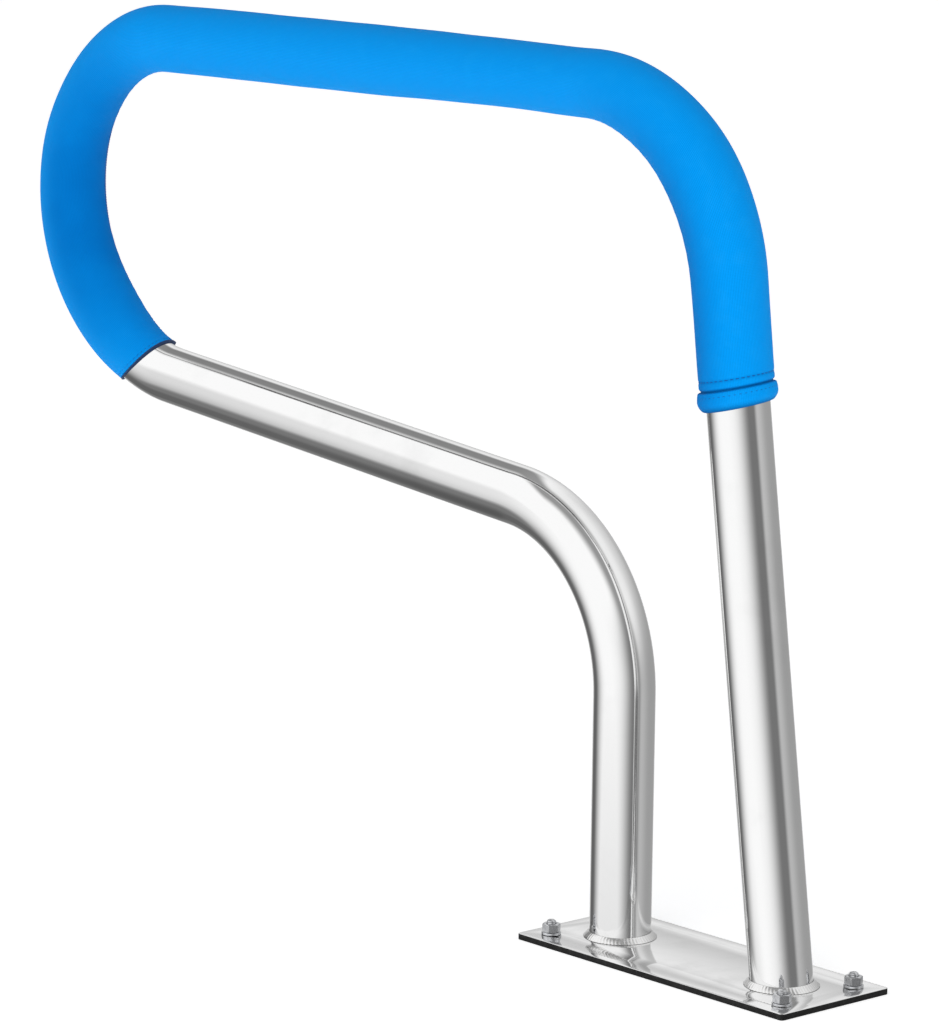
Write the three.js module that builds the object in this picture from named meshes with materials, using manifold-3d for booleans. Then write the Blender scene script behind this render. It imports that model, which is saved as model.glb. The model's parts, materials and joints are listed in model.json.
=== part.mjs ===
// A deck-mounted pool handrail: a bent stainless tube welded to a base plate, with a zipped padded
// grip cover and four expansion anchors. Millimetres, +Z up. The origin is the centre of the base
// plate's underside, the rail lies in the XZ plane, and its nose points towards -X.
import * as THREE from 'three';
import { mergeVertices } from 'three/addons/utils/BufferGeometryUtils.js';
import Module from 'manifold-3d';

const wasm = await Module();
wasm.setup();

// Clearance kept between pieces that touch on the real object.
const GAP = 0.3;

// Rail tube: 1.5 inch stainless, with its centreline's corners and bend radii.
const TUBE_RADIUS = 19.05;
const TUBE_WALL = 1.5;
const FRONT_LEG_X = -70;
const REAR_FOOT_X = 70;
const KNEE_Z = 256;
const KNEE_RADIUS = 110;
const LOWER_NOSE = { x: -605, z: 307 };
const LOWER_NOSE_RADIUS = 127;
const UPPER_NOSE_X = -662;
const UPPER_NOSE_RADIUS = 106;
const SHOULDER_X = -2;
const TOP_BAR_Z = 526;
const SHOULDER_RADIUS = 124;

// Base plate and its four holes.
const PLATE_LENGTH = 230;
const PLATE_WIDTH = 90;
const PLATE_THICKNESS = 4;
const PLATE_CHAMFER = 0.8;
const HOLE_RADIUS = 4.5;
const HOLE_SPACING_X = 200;
const HOLE_SPACING_Y = 60;
const WELD_LEG = 5;

// Grip cover, measured along the centreline from the front foot.
const COVER_START = 691.6;
const COVER_END = 1676;
const COVER_THICKNESS = 3.25;
const BINDING_WIDTH = 2.5;
const CUFF_WIDTH = 11;
const CUFF_THICKNESS = 1.2;

// Zip, across its own width and outwards from the tube's axis. It lies between the loop's inner
// side and the +Y side, turned from the inner side by ZIP_TURN.
const ZIP_TURN = THREE.MathUtils.degToRad(60);
const SLOT_HALF_WIDTH = 6.5;
const TAPE_THICKNESS = 0.5;
const TAPE_OUT = 20.6;
const TEETH_WIDTH = 2.3;
const TEETH_THICKNESS = 1.2;
const TEETH_SPREAD = 0.8;
const ZIP_END_MARGIN = 4;
const STOP_LENGTH = 2;
const BOX_LENGTH = 6;

// Slider and pull tab.
const SLIDER_LENGTH = 13;
const SLIDER_WIDTH = 9.2;
const SLIDER_WING = 0.8;
const SLIDER_FLANGE = 1.2;
const SLIDER_ABOVE_CUFF = 2;
const CROWN_WIDTH = 2;
const CROWN_WALL = 1.1;
const BAR_SIZE = 1.2;
const PULL_LENGTH = 24;
const PULL_WIDTH = 7;

// Expansion anchors, for M6 nuts.
const STUD_RADIUS = 2.9;
const STUD_ABOVE_NUT = 2.2;
const SLEEVE_RADIUS = 4;
const SLEEVE_LENGTH = 34;
const SLEEVE_SLOT = 0.8;
const SLEEVE_SLOT_LENGTH = 14;
const CONE_LENGTH = 5;
const WASHER_RADIUS = 6;
const WASHER_THICKNESS = 1.2;
const NUT_ACROSS_FLATS = 10;
const NUT_HEIGHT = 5;

// Facets.
const BEND_STEP = THREE.MathUtils.degToRad(10);
const TUBE_SIDES = 20;
const WELD_SIDES = 24;
const ANCHOR_SIDES = 12;

const COVER_INNER = TUBE_RADIUS + GAP;
const COVER_OUTER = COVER_INNER + COVER_THICKNESS;
const TEETH_OUT = TAPE_OUT + TAPE_THICKNESS + GAP;
const PLATE_TOP = PLATE_THICKNESS;

const steel = { color: 0xd9dbde, roughness: 0.12, metalness: 1 };
const weldSteel = { color: 0xc2c4c8, roughness: 0.35, metalness: 1 };
const zinc = { color: 0xb9bcc0, roughness: 0.3, metalness: 1 };
const neoprene = { color: 0x0a8cf2, roughness: 0.85, metalness: 0 };
const navy = { color: 0x0a3f86, roughness: 0.8, metalness: 0 };

function makeMesh(name, geometry, finish) {
  const mesh = new THREE.Mesh(geometry, new THREE.MeshStandardMaterial(finish));
  mesh.name = name;
  return mesh;
}

// --- Booleans ---------------------------------------------------------------

function toSolid(geometry) {
  const bare = geometry.clone();
  bare.deleteAttribute('normal');
  bare.deleteAttribute('uv');
  const merged = mergeVertices(bare, 1e-4);
  const vertProperties = new Float32Array(merged.attributes.position.array);
  const triVerts = new Uint32Array(merged.index.array);
  return new wasm.Manifold(new wasm.Mesh({ numProp: 3, vertProperties, triVerts }));
}

function toGeometry(solid) {
  const mesh = solid.getMesh();
  const geometry = new THREE.BufferGeometry();
  geometry.setAttribute('position', new THREE.BufferAttribute(mesh.vertProperties, 3));
  geometry.setIndex(new THREE.BufferAttribute(mesh.triVerts, 1));
  geometry.computeVertexNormals();
  return geometry;
}

function joined(geometries) {
  const solids = geometries.map(toSolid);
  return toGeometry(solids.reduce((whole, next) => whole.add(next)));
}

function cut(geometry, tools) {
  return toGeometry(tools.reduce((left, tool) => left.subtract(toSolid(tool)), toSolid(geometry)));
}

function box(width, depth, height, x, y, z) {
  return new THREE.BoxGeometry(width, depth, height).translate(x, y, z);
}

// --- Centreline -------------------------------------------------------------

const CORNERS = [
  { x: FRONT_LEG_X, z: PLATE_TOP, radius: 0 },
  { x: FRONT_LEG_X, z: KNEE_Z, radius: KNEE_RADIUS },
  { ...LOWER_NOSE, radius: LOWER_NOSE_RADIUS },
  { x: UPPER_NOSE_X, z: TOP_BAR_Z, radius: UPPER_NOSE_RADIUS },
  { x: SHOULDER_X, z: TOP_BAR_Z, radius: SHOULDER_RADIUS },
  { x: REAR_FOOT_X, z: PLATE_TOP, radius: 0 },
];

function headingBetween(from, to) {
  return Math.atan2(to.z - from.z, to.x - from.x);
}

// The signed turn at a corner, positive when it turns from +X towards +Z.
function turnAt(index) {
  if (index === 0 || index === CORNERS.length - 1) return 0;
  const before = headingBetween(CORNERS[index - 1], CORNERS[index]);
  const after = headingBetween(CORNERS[index], CORNERS[index + 1]);
  return Math.atan2(Math.sin(after - before), Math.cos(after - before));
}

function tangentLength(index) {
  return CORNERS[index].radius * Math.tan(Math.abs(turnAt(index)) / 2);
}

// The point and direction at a distance along a run, which is straight or has one curvature.
function along(run, distance) {
  const heading = run.heading + run.curvature * distance;
  const tangent = new THREE.Vector3(Math.cos(heading), 0, Math.sin(heading));
  const point = new THREE.Vector3(run.x, 0, run.z);
  if (run.curvature === 0) {
    point.addScaledVector(tangent, distance);
  } else {
    point.x += (Math.sin(heading) - Math.sin(run.heading)) / run.curvature;
    point.z -= (Math.cos(heading) - Math.cos(run.heading)) / run.curvature;
  }
  return { point, tangent };
}

// Straight runs and bends in order, each with the distance at which it starts.
function makeRuns() {
  const runs = [];
  let start = 0;
  for (let index = 0; index < CORNERS.length - 1; index += 1) {
    const [from, to] = [CORNERS[index], CORNERS[index + 1]];
    const heading = headingBetween(from, to);
    const lead = tangentLength(index);
    const straight = Math.hypot(to.x - from.x, to.z - from.z) - lead - tangentLength(index + 1);
    const x = from.x + lead * Math.cos(heading);
    const z = from.z + lead * Math.sin(heading);
    const run = { x, z, heading, curvature: 0, length: straight, start };
    runs.push(run);
    start += straight;
    const turn = turnAt(index + 1);
    if (turn === 0) continue;
    const { point } = along(run, straight);
    const { radius } = to;
    const bend = { x: point.x, z: point.z, heading, start };
    runs.push({ ...bend, curvature: Math.sign(turn) / radius, length: Math.abs(turn) * radius });
    start += Math.abs(turn) * radius;
  }
  return runs;
}

const RUNS = makeRuns();
const RAIL_LENGTH = RUNS.at(-1).start + RUNS.at(-1).length;

// Every place where the rail's facets change: the ends of each straight, and even steps round bends.
function makeStations() {
  const stations = [];
  for (const run of RUNS) {
    const steps = Math.max(1, Math.ceil((Math.abs(run.curvature) * run.length) / BEND_STEP));
    for (let step = 0; step < steps; step += 1) {
      const distance = (run.length * step) / steps;
      stations.push({ distance: run.start + distance, ...along(run, distance) });
    }
  }
  const last = RUNS.at(-1);
  stations.push({ distance: RAIL_LENGTH, ...along(last, last.length) });
  return stations;
}

const STATIONS = makeStations();

// A station between two others lies on the facet between them, so nested sweeps stay clear.
function stationAt(distance) {
  const found = STATIONS.findIndex((station) => station.distance > distance);
  const index = found < 0 ? STATIONS.length - 1 : Math.max(1, found);
  const [before, after] = [STATIONS[index - 1], STATIONS[index]];
  const share = (distance - before.distance) / (after.distance - before.distance);
  return {
    distance,
    point: before.point.clone().lerp(after.point, share),
    tangent: before.tangent.clone().lerp(after.tangent, share).normalize(),
  };
}

function stationsBetween(from, to) {
  const inside = STATIONS.filter(({ distance }) => distance > from + GAP && distance < to - GAP);
  return [stationAt(from), ...inside, stationAt(to)];
}

class StationPath extends THREE.Curve {
  constructor(stations) {
    super();
    this.stations = stations;
  }

  nearest(u) {
    return this.stations[Math.round(u * (this.stations.length - 1))];
  }

  getPointAt(u) {
    return this.nearest(u).point.clone();
  }

  getTangentAt(u) {
    return this.nearest(u).tangent.clone();
  }
}

// Sweeps an outline along part of the rail. The outline's x is -Y and its y is the loop's inner side.
function sweep(outline, from, to) {
  const stations = stationsBetween(from, to);
  return new THREE.ExtrudeGeometry(outline, {
    steps: stations.length - 1,
    extrudePath: new StationPath(stations),
    curveSegments: TUBE_SIDES / 2,
  });
}

// --- Outlines ---------------------------------------------------------------

// A point of the zip's cross-section: side is across the zip, out is away from the tube's axis.
function zipPoint(side, out) {
  const x = side * Math.cos(ZIP_TURN) - out * Math.sin(ZIP_TURN);
  const y = side * Math.sin(ZIP_TURN) + out * Math.cos(ZIP_TURN);
  return new THREE.Vector2(x, y);
}

function zipStrip(side, width, out, thickness) {
  const corners = [
    zipPoint(side, out),
    zipPoint(side + width, out),
    zipPoint(side + width, out + thickness),
    zipPoint(side, out + thickness),
  ];
  return new THREE.Shape(corners);
}

function ringOutline(outer, inner) {
  const outline = new THREE.Shape();
  outline.absarc(0, 0, outer, 0, 2 * Math.PI, false);
  const hole = new THREE.Path();
  hole.absarc(0, 0, inner, 0, 2 * Math.PI, true);
  outline.holes.push(hole);
  return outline;
}

// A ring left open by the zip's slot, whose sides are parallel.
function openRingOutline(outer, inner) {
  const slot = Math.PI / 2 + ZIP_TURN;
  const outerGap = Math.asin(SLOT_HALF_WIDTH / outer);
  const innerGap = Math.asin(SLOT_HALF_WIDTH / inner);
  const outline = new THREE.Shape();
  outline.absarc(0, 0, outer, slot + outerGap, slot - outerGap + 2 * Math.PI, false);
  outline.absarc(0, 0, inner, slot - innerGap + 2 * Math.PI, slot + innerGap, true);
  return outline;
}

function roundedOutline(width, length, radius) {
  const [x, y] = [width / 2 - radius, length / 2 - radius];
  const outline = new THREE.Shape();
  outline.absarc(x, y, radius, 0, Math.PI / 2, false);
  outline.absarc(-x, y, radius, Math.PI / 2, Math.PI, false);
  outline.absarc(-x, -y, radius, Math.PI, 1.5 * Math.PI, false);
  outline.absarc(x, -y, radius, 1.5 * Math.PI, 2 * Math.PI, false);
  return outline;
}

function slab(outline, thickness, z) {
  const settings = { depth: thickness, bevelEnabled: false, curveSegments: 2 };
  return new THREE.ExtrudeGeometry(outline, settings).translate(0, 0, z);
}

// --- Plate, rail and welds --------------------------------------------------

function holePlaces() {
  const places = [];
  for (const x of [-HOLE_SPACING_X / 2, HOLE_SPACING_X / 2]) {
    for (const y of [-HOLE_SPACING_Y / 2, HOLE_SPACING_Y / 2]) {
      places.push({ x, y });
    }
  }
  return places;
}

function makeBasePlate() {
  const [x, y] = [PLATE_LENGTH / 2 - PLATE_CHAMFER, PLATE_WIDTH / 2 - PLATE_CHAMFER];
  const outline = new THREE.Shape();
  outline.moveTo(-x, -y).lineTo(x, -y).lineTo(x, y).lineTo(-x, y).closePath();
  for (const place of holePlaces()) {
    const hole = new THREE.Path();
    hole.absarc(place.x, place.y, HOLE_RADIUS + PLATE_CHAMFER, 0, 2 * Math.PI, true);
    outline.holes.push(hole);
  }
  const geometry = new THREE.ExtrudeGeometry(outline, {
    depth: PLATE_THICKNESS - 2 * PLATE_CHAMFER,
    bevelThickness: PLATE_CHAMFER,
    bevelSize: PLATE_CHAMFER,
    bevelSegments: 1,
    curveSegments: ANCHOR_SIDES / 2,
  });
  return makeMesh('base_plate', geometry.translate(0, 0, PLATE_CHAMFER), steel);
}

// The rear leg leans, so the tube is run past the plate and cut level just above it.
function makeRailTube() {
  const overrun = 10;
  const tube = sweep(ringOutline(TUBE_RADIUS, TUBE_RADIUS - TUBE_WALL), GAP, RAIL_LENGTH + overrun);
  const trim = box(80, 80, 40, REAR_FOOT_X, 0, PLATE_TOP + GAP - 20);
  return makeMesh('rail_tube', cut(tube, [trim]), steel);
}

// A fillet bead round a leg's foot, sheared to follow a leg that leans.
function makeWeld(name, x, lean) {
  const inner = TUBE_RADIUS + GAP;
  const outer = TUBE_RADIUS + WELD_LEG;
  const top = WELD_LEG;
  const crown = 0.6 * WELD_LEG;
  const profile = [
    new THREE.Vector2(inner, GAP),
    new THREE.Vector2(outer, GAP),
    new THREE.Vector2(TUBE_RADIUS + crown, crown),
    new THREE.Vector2(inner, top),
    new THREE.Vector2(inner, GAP),
  ];
  const geometry = new THREE.LatheGeometry(profile, WELD_SIDES).rotateX(Math.PI / 2);
  const shear = new THREE.Matrix4();
  shear.set(1 / Math.cos(lean), 0, -Math.tan(lean), 0, 0, 1, 0, 0, 0, 0, 1, 0, 0, 0, 0, 1);
  const mesh = makeMesh(name, geometry.applyMatrix4(shear), weldSteel);
  mesh.position.set(x, 0, PLATE_TOP);
  return mesh;
}

function rearLean() {
  const { tangent } = stationAt(RAIL_LENGTH);
  return Math.atan2(tangent.x, -tangent.z);
}

// --- Grip cover -------------------------------------------------------------

function makeCover() {
  const cover = new THREE.Group();
  const body = openRingOutline(COVER_OUTER, COVER_INNER);
  const cuff = openRingOutline(COVER_OUTER + GAP + CUFF_THICKNESS, COVER_OUTER + GAP);
  const coverStart = COVER_START + BINDING_WIDTH + GAP;
  cover.add(makeMesh('grip_cover', sweep(body, coverStart, COVER_END), neoprene));
  cover.add(makeMesh('front_binding', sweep(body, COVER_START, COVER_START + BINDING_WIDTH), navy));
  cover.add(makeMesh('rear_cuff', sweep(cuff, COVER_END - CUFF_WIDTH, COVER_END), neoprene));
  return cover;
}

function makeZipRows() {
  const rows = new THREE.Group();
  const start = COVER_START + ZIP_END_MARGIN;
  const end = COVER_END - ZIP_END_MARGIN;
  const tapeWidth = SLOT_HALF_WIDTH - GAP - TEETH_SPREAD;
  const stopWidth = TEETH_WIDTH;
  const boxThickness = TEETH_THICKNESS + 0.4;
  const sides = [['left', 1], ['right', -1]];
  for (const [label, sign] of sides) {
    const strip = (width, out, thickness) => {
      const side = sign > 0 ? TEETH_SPREAD : -TEETH_SPREAD - width;
      return zipStrip(side, width, out, thickness);
    };
    const tape = strip(tapeWidth, TAPE_OUT, TAPE_THICKNESS);
    const teeth = strip(TEETH_WIDTH, TEETH_OUT, TEETH_THICKNESS);
    const stop = strip(stopWidth, TEETH_OUT, TEETH_THICKNESS + 0.4);
    const teethStart = start + BOX_LENGTH + GAP;
    const teethEnd = end - STOP_LENGTH - GAP;
    rows.add(makeMesh(`zip_tape_${label}`, sweep(tape, start, end), navy));
    rows.add(makeMesh(`zip_teeth_${label}`, sweep(teeth, teethStart, teethEnd), navy));
    rows.add(makeMesh(`zip_stop_${label}`, sweep(stop, end - STOP_LENGTH, end), zinc));
  }
  const width = TEETH_SPREAD + TEETH_WIDTH;
  const joiner = zipStrip(-width, 2 * width, TEETH_OUT, boxThickness);
  rows.add(makeMesh('zip_box', sweep(joiner, start, start + BOX_LENGTH), zinc));
  return rows;
}

// A frame on the rear leg: x across the zip, y up the leg, z outwards through the zip.
function zipFrame(distance) {
  const { point, tangent } = stationAt(distance);
  const up = tangent.clone().negate();
  const inner = new THREE.Vector3(tangent.z, 0, -tangent.x);
  const out = inner.multiplyScalar(Math.cos(ZIP_TURN));
  out.y = Math.sin(ZIP_TURN);
  const across = new THREE.Vector3().crossVectors(up, out);
  const frame = new THREE.Group();
  frame.applyMatrix4(new THREE.Matrix4().makeBasis(across, up, out).setPosition(point));
  return frame;
}

// --- Slider and pull --------------------------------------------------------

const WING_OUT = TEETH_OUT + TEETH_THICKNESS + GAP;
const WING_TOP = WING_OUT + SLIDER_WING;
const BAR_REACH = BAR_SIZE * Math.SQRT1_2;
const BAR_OUT = WING_TOP + GAP + BAR_REACH;
const CROWN_HALF_SPAN = BAR_REACH + GAP + 0.1;
const CROWN_TOP = BAR_OUT + BAR_REACH + GAP + CROWN_WALL;

// A bridge over the pull's bar, drawn in the plane of the leg and the zip's outward direction.
function makeCrown() {
  const reach = CROWN_HALF_SPAN + CROWN_WALL;
  const base = WING_TOP - 0.2;
  const outline = new THREE.Shape();
  outline.moveTo(-reach, base);
  outline.lineTo(-CROWN_HALF_SPAN, base);
  outline.lineTo(-CROWN_HALF_SPAN, CROWN_TOP - CROWN_WALL);
  outline.lineTo(CROWN_HALF_SPAN, CROWN_TOP - CROWN_WALL);
  outline.lineTo(CROWN_HALF_SPAN, base);
  outline.lineTo(reach, base);
  outline.lineTo(reach, CROWN_TOP - 0.6);
  outline.lineTo(reach - 0.6, CROWN_TOP);
  outline.lineTo(0.6 - reach, CROWN_TOP);
  outline.lineTo(-reach, CROWN_TOP - 0.6);
  const bridge = slab(outline, CROWN_WIDTH, -CROWN_WIDTH / 2);
  const turned = new THREE.Matrix4().makeBasis(
    new THREE.Vector3(0, 1, 0),
    new THREE.Vector3(0, 0, 1),
    new THREE.Vector3(1, 0, 0),
  );
  return bridge.applyMatrix4(turned);
}

function makeSliderBody() {
  const lowerOut = COVER_INNER + 0.1;
  const postLength = 3;
  const overlap = 0.2;
  const upper = slab(roundedOutline(SLIDER_WIDTH, SLIDER_LENGTH, 2), SLIDER_WING, WING_OUT);
  const lower = slab(roundedOutline(SLIDER_WIDTH - 1, SLIDER_LENGTH - 1, 2), SLIDER_WING, lowerOut);
  const postHeight = WING_OUT - lowerOut + overlap;
  const postY = 1 - SLIDER_LENGTH / 2 + postLength / 2;
  const post = box(1, postLength, postHeight, 0, postY, lowerOut + overlap + postHeight / 2);
  const flangeFoot = TAPE_OUT + TAPE_THICKNESS + GAP + 0.1;
  const flangeHeight = WING_OUT + overlap - flangeFoot;
  const flangeX = (SLIDER_WIDTH - SLIDER_FLANGE) / 2;
  const flanges = [-flangeX, flangeX].map((x) => (
    box(SLIDER_FLANGE, SLIDER_LENGTH - 4, flangeHeight, x, 0, flangeFoot + flangeHeight / 2)
  ));
  return joined([upper, lower, post, ...flanges, makeCrown()]);
}

// The pull hangs from its bar, at the origin, down -Y. Its window lets it swing over the crown.
function makePullBody() {
  const windowWidth = CROWN_WIDTH + 1.2;
  const windowStart = BAR_SIZE / 2;
  const windowEnd = Math.hypot(CROWN_HALF_SPAN + CROWN_WALL, CROWN_TOP - BAR_OUT) + GAP + 0.2;
  const gripHole = 1.4;
  const outline = roundedOutline(PULL_WIDTH, PULL_LENGTH, BAR_SIZE / 2);
  const centre = BAR_SIZE / 2 - PULL_LENGTH / 2;
  const body = slab(outline, BAR_SIZE, -BAR_SIZE / 2).translate(0, centre, 0);
  const windowLength = windowEnd - windowStart;
  const windowCut = box(windowWidth, windowLength, 2 * BAR_SIZE, 0, -windowStart - windowLength / 2, 0);
  const hole = new THREE.CylinderGeometry(gripHole, gripHole, 2 * BAR_SIZE, ANCHOR_SIDES);
  hole.rotateX(Math.PI / 2).translate(0, 3.6 - PULL_LENGTH, 0);
  return cut(body, [windowCut, hole]);
}

// The pull hangs plumb in the plane across the zip, a little off the leaning leg.
function hangAngle(frame) {
  const down = new THREE.Vector3(0, 0, -1).applyMatrix4(frame.matrix.clone().setPosition(0, 0, 0).invert());
  return Math.atan2(down.z, -down.y);
}

function makeZipSlider() {
  const distance = COVER_END - CUFF_WIDTH - SLIDER_ABOVE_CUFF - SLIDER_LENGTH / 2;
  const frame = zipFrame(distance);
  frame.add(makeMesh('zip_slider', makeSliderBody(), zinc));
  const pull = makeMesh('zip_pull', makePullBody(), zinc);
  pull.position.z = BAR_OUT;
  pull.rotation.x = -hangAngle(frame);
  frame.add(pull);
  return frame;
}

// --- Anchors ----------------------------------------------------------------

// Lathe profiles are pairs of radius and height, from the axis or round a closed ring.
function lathe(profile, sides) {
  const points = profile.map(([radius, height]) => new THREE.Vector2(radius, height));
  return new THREE.LatheGeometry(points, sides).rotateX(Math.PI / 2);
}

function makeStud(top, sleeveEnd) {
  const coneTop = sleeveEnd - GAP;
  const coneEnd = coneTop - CONE_LENGTH;
  return lathe([
    [0, coneEnd],
    [SLEEVE_RADIUS, coneEnd],
    [SLEEVE_RADIUS, coneEnd + 1],
    [STUD_RADIUS, coneTop],
    [STUD_RADIUS, top - 0.6],
    [STUD_RADIUS - 0.6, top],
    [0, top],
  ], ANCHOR_SIDES);
}

// A tube whose lower end is slotted into four leaves.
function makeSleeve(sleeveEnd) {
  const inner = STUD_RADIUS + GAP;
  const tube = lathe([
    [inner, sleeveEnd],
    [SLEEVE_RADIUS, sleeveEnd],
    [SLEEVE_RADIUS, PLATE_TOP],
    [inner, PLATE_TOP],
    [inner, sleeveEnd],
  ], ANCHOR_SIDES);
  const across = 3 * SLEEVE_RADIUS;
  const z = sleeveEnd + SLEEVE_SLOT_LENGTH / 2 - 1;
  const slots = [
    box(across, SLEEVE_SLOT, SLEEVE_SLOT_LENGTH + 2, 0, 0, z),
    box(SLEEVE_SLOT, across, SLEEVE_SLOT_LENGTH + 2, 0, 0, z),
  ];
  return cut(tube, slots);
}

function makeWasher() {
  const inner = STUD_RADIUS + GAP + 0.1;
  const bottom = PLATE_TOP + GAP;
  const top = bottom + WASHER_THICKNESS;
  return lathe([
    [inner, bottom],
    [WASHER_RADIUS, bottom],
    [WASHER_RADIUS, top],
    [inner, top],
    [inner, bottom],
  ], ANCHOR_SIDES + 4);
}

function makeNut(bottom) {
  const outline = new THREE.Shape();
  const cornerRadius = NUT_ACROSS_FLATS / Math.sqrt(3);
  for (let corner = 0; corner < 6; corner += 1) {
    const angle = (corner * Math.PI) / 3;
    const [x, y] = [cornerRadius * Math.cos(angle), cornerRadius * Math.sin(angle)];
    if (corner === 0) outline.moveTo(x, y);
    else outline.lineTo(x, y);
  }
  outline.closePath();
  const bore = new THREE.Path();
  bore.absarc(0, 0, STUD_RADIUS + GAP, 0, 2 * Math.PI, true);
  outline.holes.push(bore);
  const settings = { depth: NUT_HEIGHT, bevelEnabled: false, curveSegments: ANCHOR_SIDES / 2 };
  return new THREE.ExtrudeGeometry(outline, settings).translate(0, 0, bottom);
}

function makeAnchor(number, place) {
  const sleeveEnd = PLATE_TOP - SLEEVE_LENGTH;
  const nutBottom = PLATE_TOP + GAP + WASHER_THICKNESS + GAP;
  const anchor = new THREE.Group();
  anchor.position.set(place.x, place.y, 0);
  const studTop = nutBottom + NUT_HEIGHT + STUD_ABOVE_NUT;
  anchor.add(makeMesh(`anchor_stud_${number}`, makeStud(studTop, sleeveEnd), zinc));
  anchor.add(makeMesh(`anchor_sleeve_${number}`, makeSleeve(sleeveEnd), zinc));
  anchor.add(makeMesh(`anchor_washer_${number}`, makeWasher(), steel));
  anchor.add(makeMesh(`anchor_nut_${number}`, makeNut(nutBottom), steel));
  return anchor;
}

// --- Assembly ---------------------------------------------------------------

const handrail = new THREE.Group();
handrail.add(makeBasePlate());
handrail.add(makeRailTube());
handrail.add(makeWeld('weld_front', FRONT_LEG_X, 0));
handrail.add(makeWeld('weld_rear', REAR_FOOT_X, rearLean()));
handrail.add(makeCover());
handrail.add(makeZipRows());
handrail.add(makeZipSlider());
holePlaces().forEach((place, index) => handrail.add(makeAnchor(index + 1, place)));

export default handrail;
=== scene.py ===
"""The looks of a deck-mounted pool handrail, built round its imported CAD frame. Metres, +Z up."""
import json
import math

import bmesh
import bpy
import numpy as np
from mathutils import Matrix, Vector

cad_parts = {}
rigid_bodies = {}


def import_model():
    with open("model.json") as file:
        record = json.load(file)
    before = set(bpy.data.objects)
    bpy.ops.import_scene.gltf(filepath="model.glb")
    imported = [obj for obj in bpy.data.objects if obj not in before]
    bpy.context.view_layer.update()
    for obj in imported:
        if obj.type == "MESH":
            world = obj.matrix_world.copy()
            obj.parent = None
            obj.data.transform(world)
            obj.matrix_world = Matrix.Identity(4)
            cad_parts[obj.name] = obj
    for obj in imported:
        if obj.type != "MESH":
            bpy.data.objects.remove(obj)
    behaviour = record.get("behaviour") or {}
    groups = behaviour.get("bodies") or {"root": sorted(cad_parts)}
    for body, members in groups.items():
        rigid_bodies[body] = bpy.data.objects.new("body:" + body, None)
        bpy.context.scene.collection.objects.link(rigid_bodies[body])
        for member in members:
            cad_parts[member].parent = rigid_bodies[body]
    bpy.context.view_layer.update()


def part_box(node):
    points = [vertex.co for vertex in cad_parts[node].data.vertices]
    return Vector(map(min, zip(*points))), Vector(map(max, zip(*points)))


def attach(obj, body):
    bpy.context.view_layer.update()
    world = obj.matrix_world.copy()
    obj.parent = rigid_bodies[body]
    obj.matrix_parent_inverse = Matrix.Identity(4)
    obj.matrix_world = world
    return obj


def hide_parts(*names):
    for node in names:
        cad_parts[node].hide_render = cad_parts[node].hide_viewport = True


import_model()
SEED = 7

# --- Driving sizes ------------------------------------------------------------

MM = 0.001
TAU = 2 * math.pi
rail_low, rail_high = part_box("rail_tube")
plate_low, plate_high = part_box("base_plate")
TUBE_RADIUS = (rail_high.y - rail_low.y) / 2
TUBE_WALL = 1.5 * MM
PLATE_TOP = plate_high.z

# The centreline's corners: x, z and bend radius.
CORNERS = (
    (-0.070, PLATE_TOP, 0.0),
    (-0.070, 0.256, 0.110),
    (-0.605, 0.307, 0.127),
    (-0.662, 0.526, 0.106),
    (-0.002, 0.526, 0.124),
    (0.070, PLATE_TOP, 0.0),
)

# The grip cover, by distance along the centreline from the front foot.
COVER_START = 691.6 * MM
COVER_END = 1676 * MM
COVER_INNER = TUBE_RADIUS + 0.15 * MM
COVER_OUTER = TUBE_RADIUS + 3.55 * MM
BINDING_WIDTH = 1.6 * MM
BINDING_END = COVER_START + BINDING_WIDTH
CUFF_WIDTH = 11 * MM
CUFF_TOP = COVER_END - CUFF_WIDTH
CUFF_PROUD = 1.5 * MM
CUFF_STITCH_SPACING = 5 * MM

# The zip, which faces between the loop's inner side and +Y.
ZIP_TURN = math.radians(60)
SLOT_ANGLE = math.pi / 2 + ZIP_TURN
SLOT_HALF_WIDTH = 6.5 * MM
TAPE_OUT = 20.6 * MM
TAPE_THICKNESS = 0.5 * MM
TEETH_OUT = 21.3 * MM
TEETH_THICKNESS = 1.3 * MM

# --- Centreline ---------------------------------------------------------------


def heading_between(a, b):
    return math.atan2(b[1] - a[1], b[0] - a[0])


def turn_at(index):
    """The signed turn at a corner, positive from +X towards +Z."""
    if index in (0, len(CORNERS) - 1):
        return 0.0
    before = heading_between(CORNERS[index - 1], CORNERS[index])
    after = heading_between(CORNERS[index], CORNERS[index + 1])
    return math.atan2(math.sin(after - before), math.cos(after - before))


def lead_at(index):
    return CORNERS[index][2] * math.tan(abs(turn_at(index)) / 2)


def along(run, distance):
    """The x, z and heading at a distance along a run, which is straight or has one curvature."""
    x, z, heading, curvature = run[:4]
    ahead = heading + curvature * distance
    if curvature == 0:
        return x + distance * math.cos(heading), z + distance * math.sin(heading), heading
    x += (math.sin(ahead) - math.sin(heading)) / curvature
    z -= (math.cos(ahead) - math.cos(heading)) / curvature
    return x, z, ahead


def make_runs():
    """Straights and bends in order, each (x, z, heading, curvature, start, length)."""
    runs = []
    start = 0.0
    for index in range(len(CORNERS) - 1):
        a, b = CORNERS[index], CORNERS[index + 1]
        heading = heading_between(a, b)
        lead = lead_at(index)
        straight = math.hypot(b[0] - a[0], b[1] - a[1]) - lead - lead_at(index + 1)
        x = a[0] + lead * math.cos(heading)
        z = a[1] + lead * math.sin(heading)
        runs.append((x, z, heading, 0.0, start, straight))
        start += straight
        turn = turn_at(index + 1)
        if turn:
            x, z, heading = along(runs[-1], straight)
            bend = abs(turn) * b[2]
            runs.append((x, z, heading, math.copysign(1 / b[2], turn), start, bend))
            start += bend
    return runs


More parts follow.
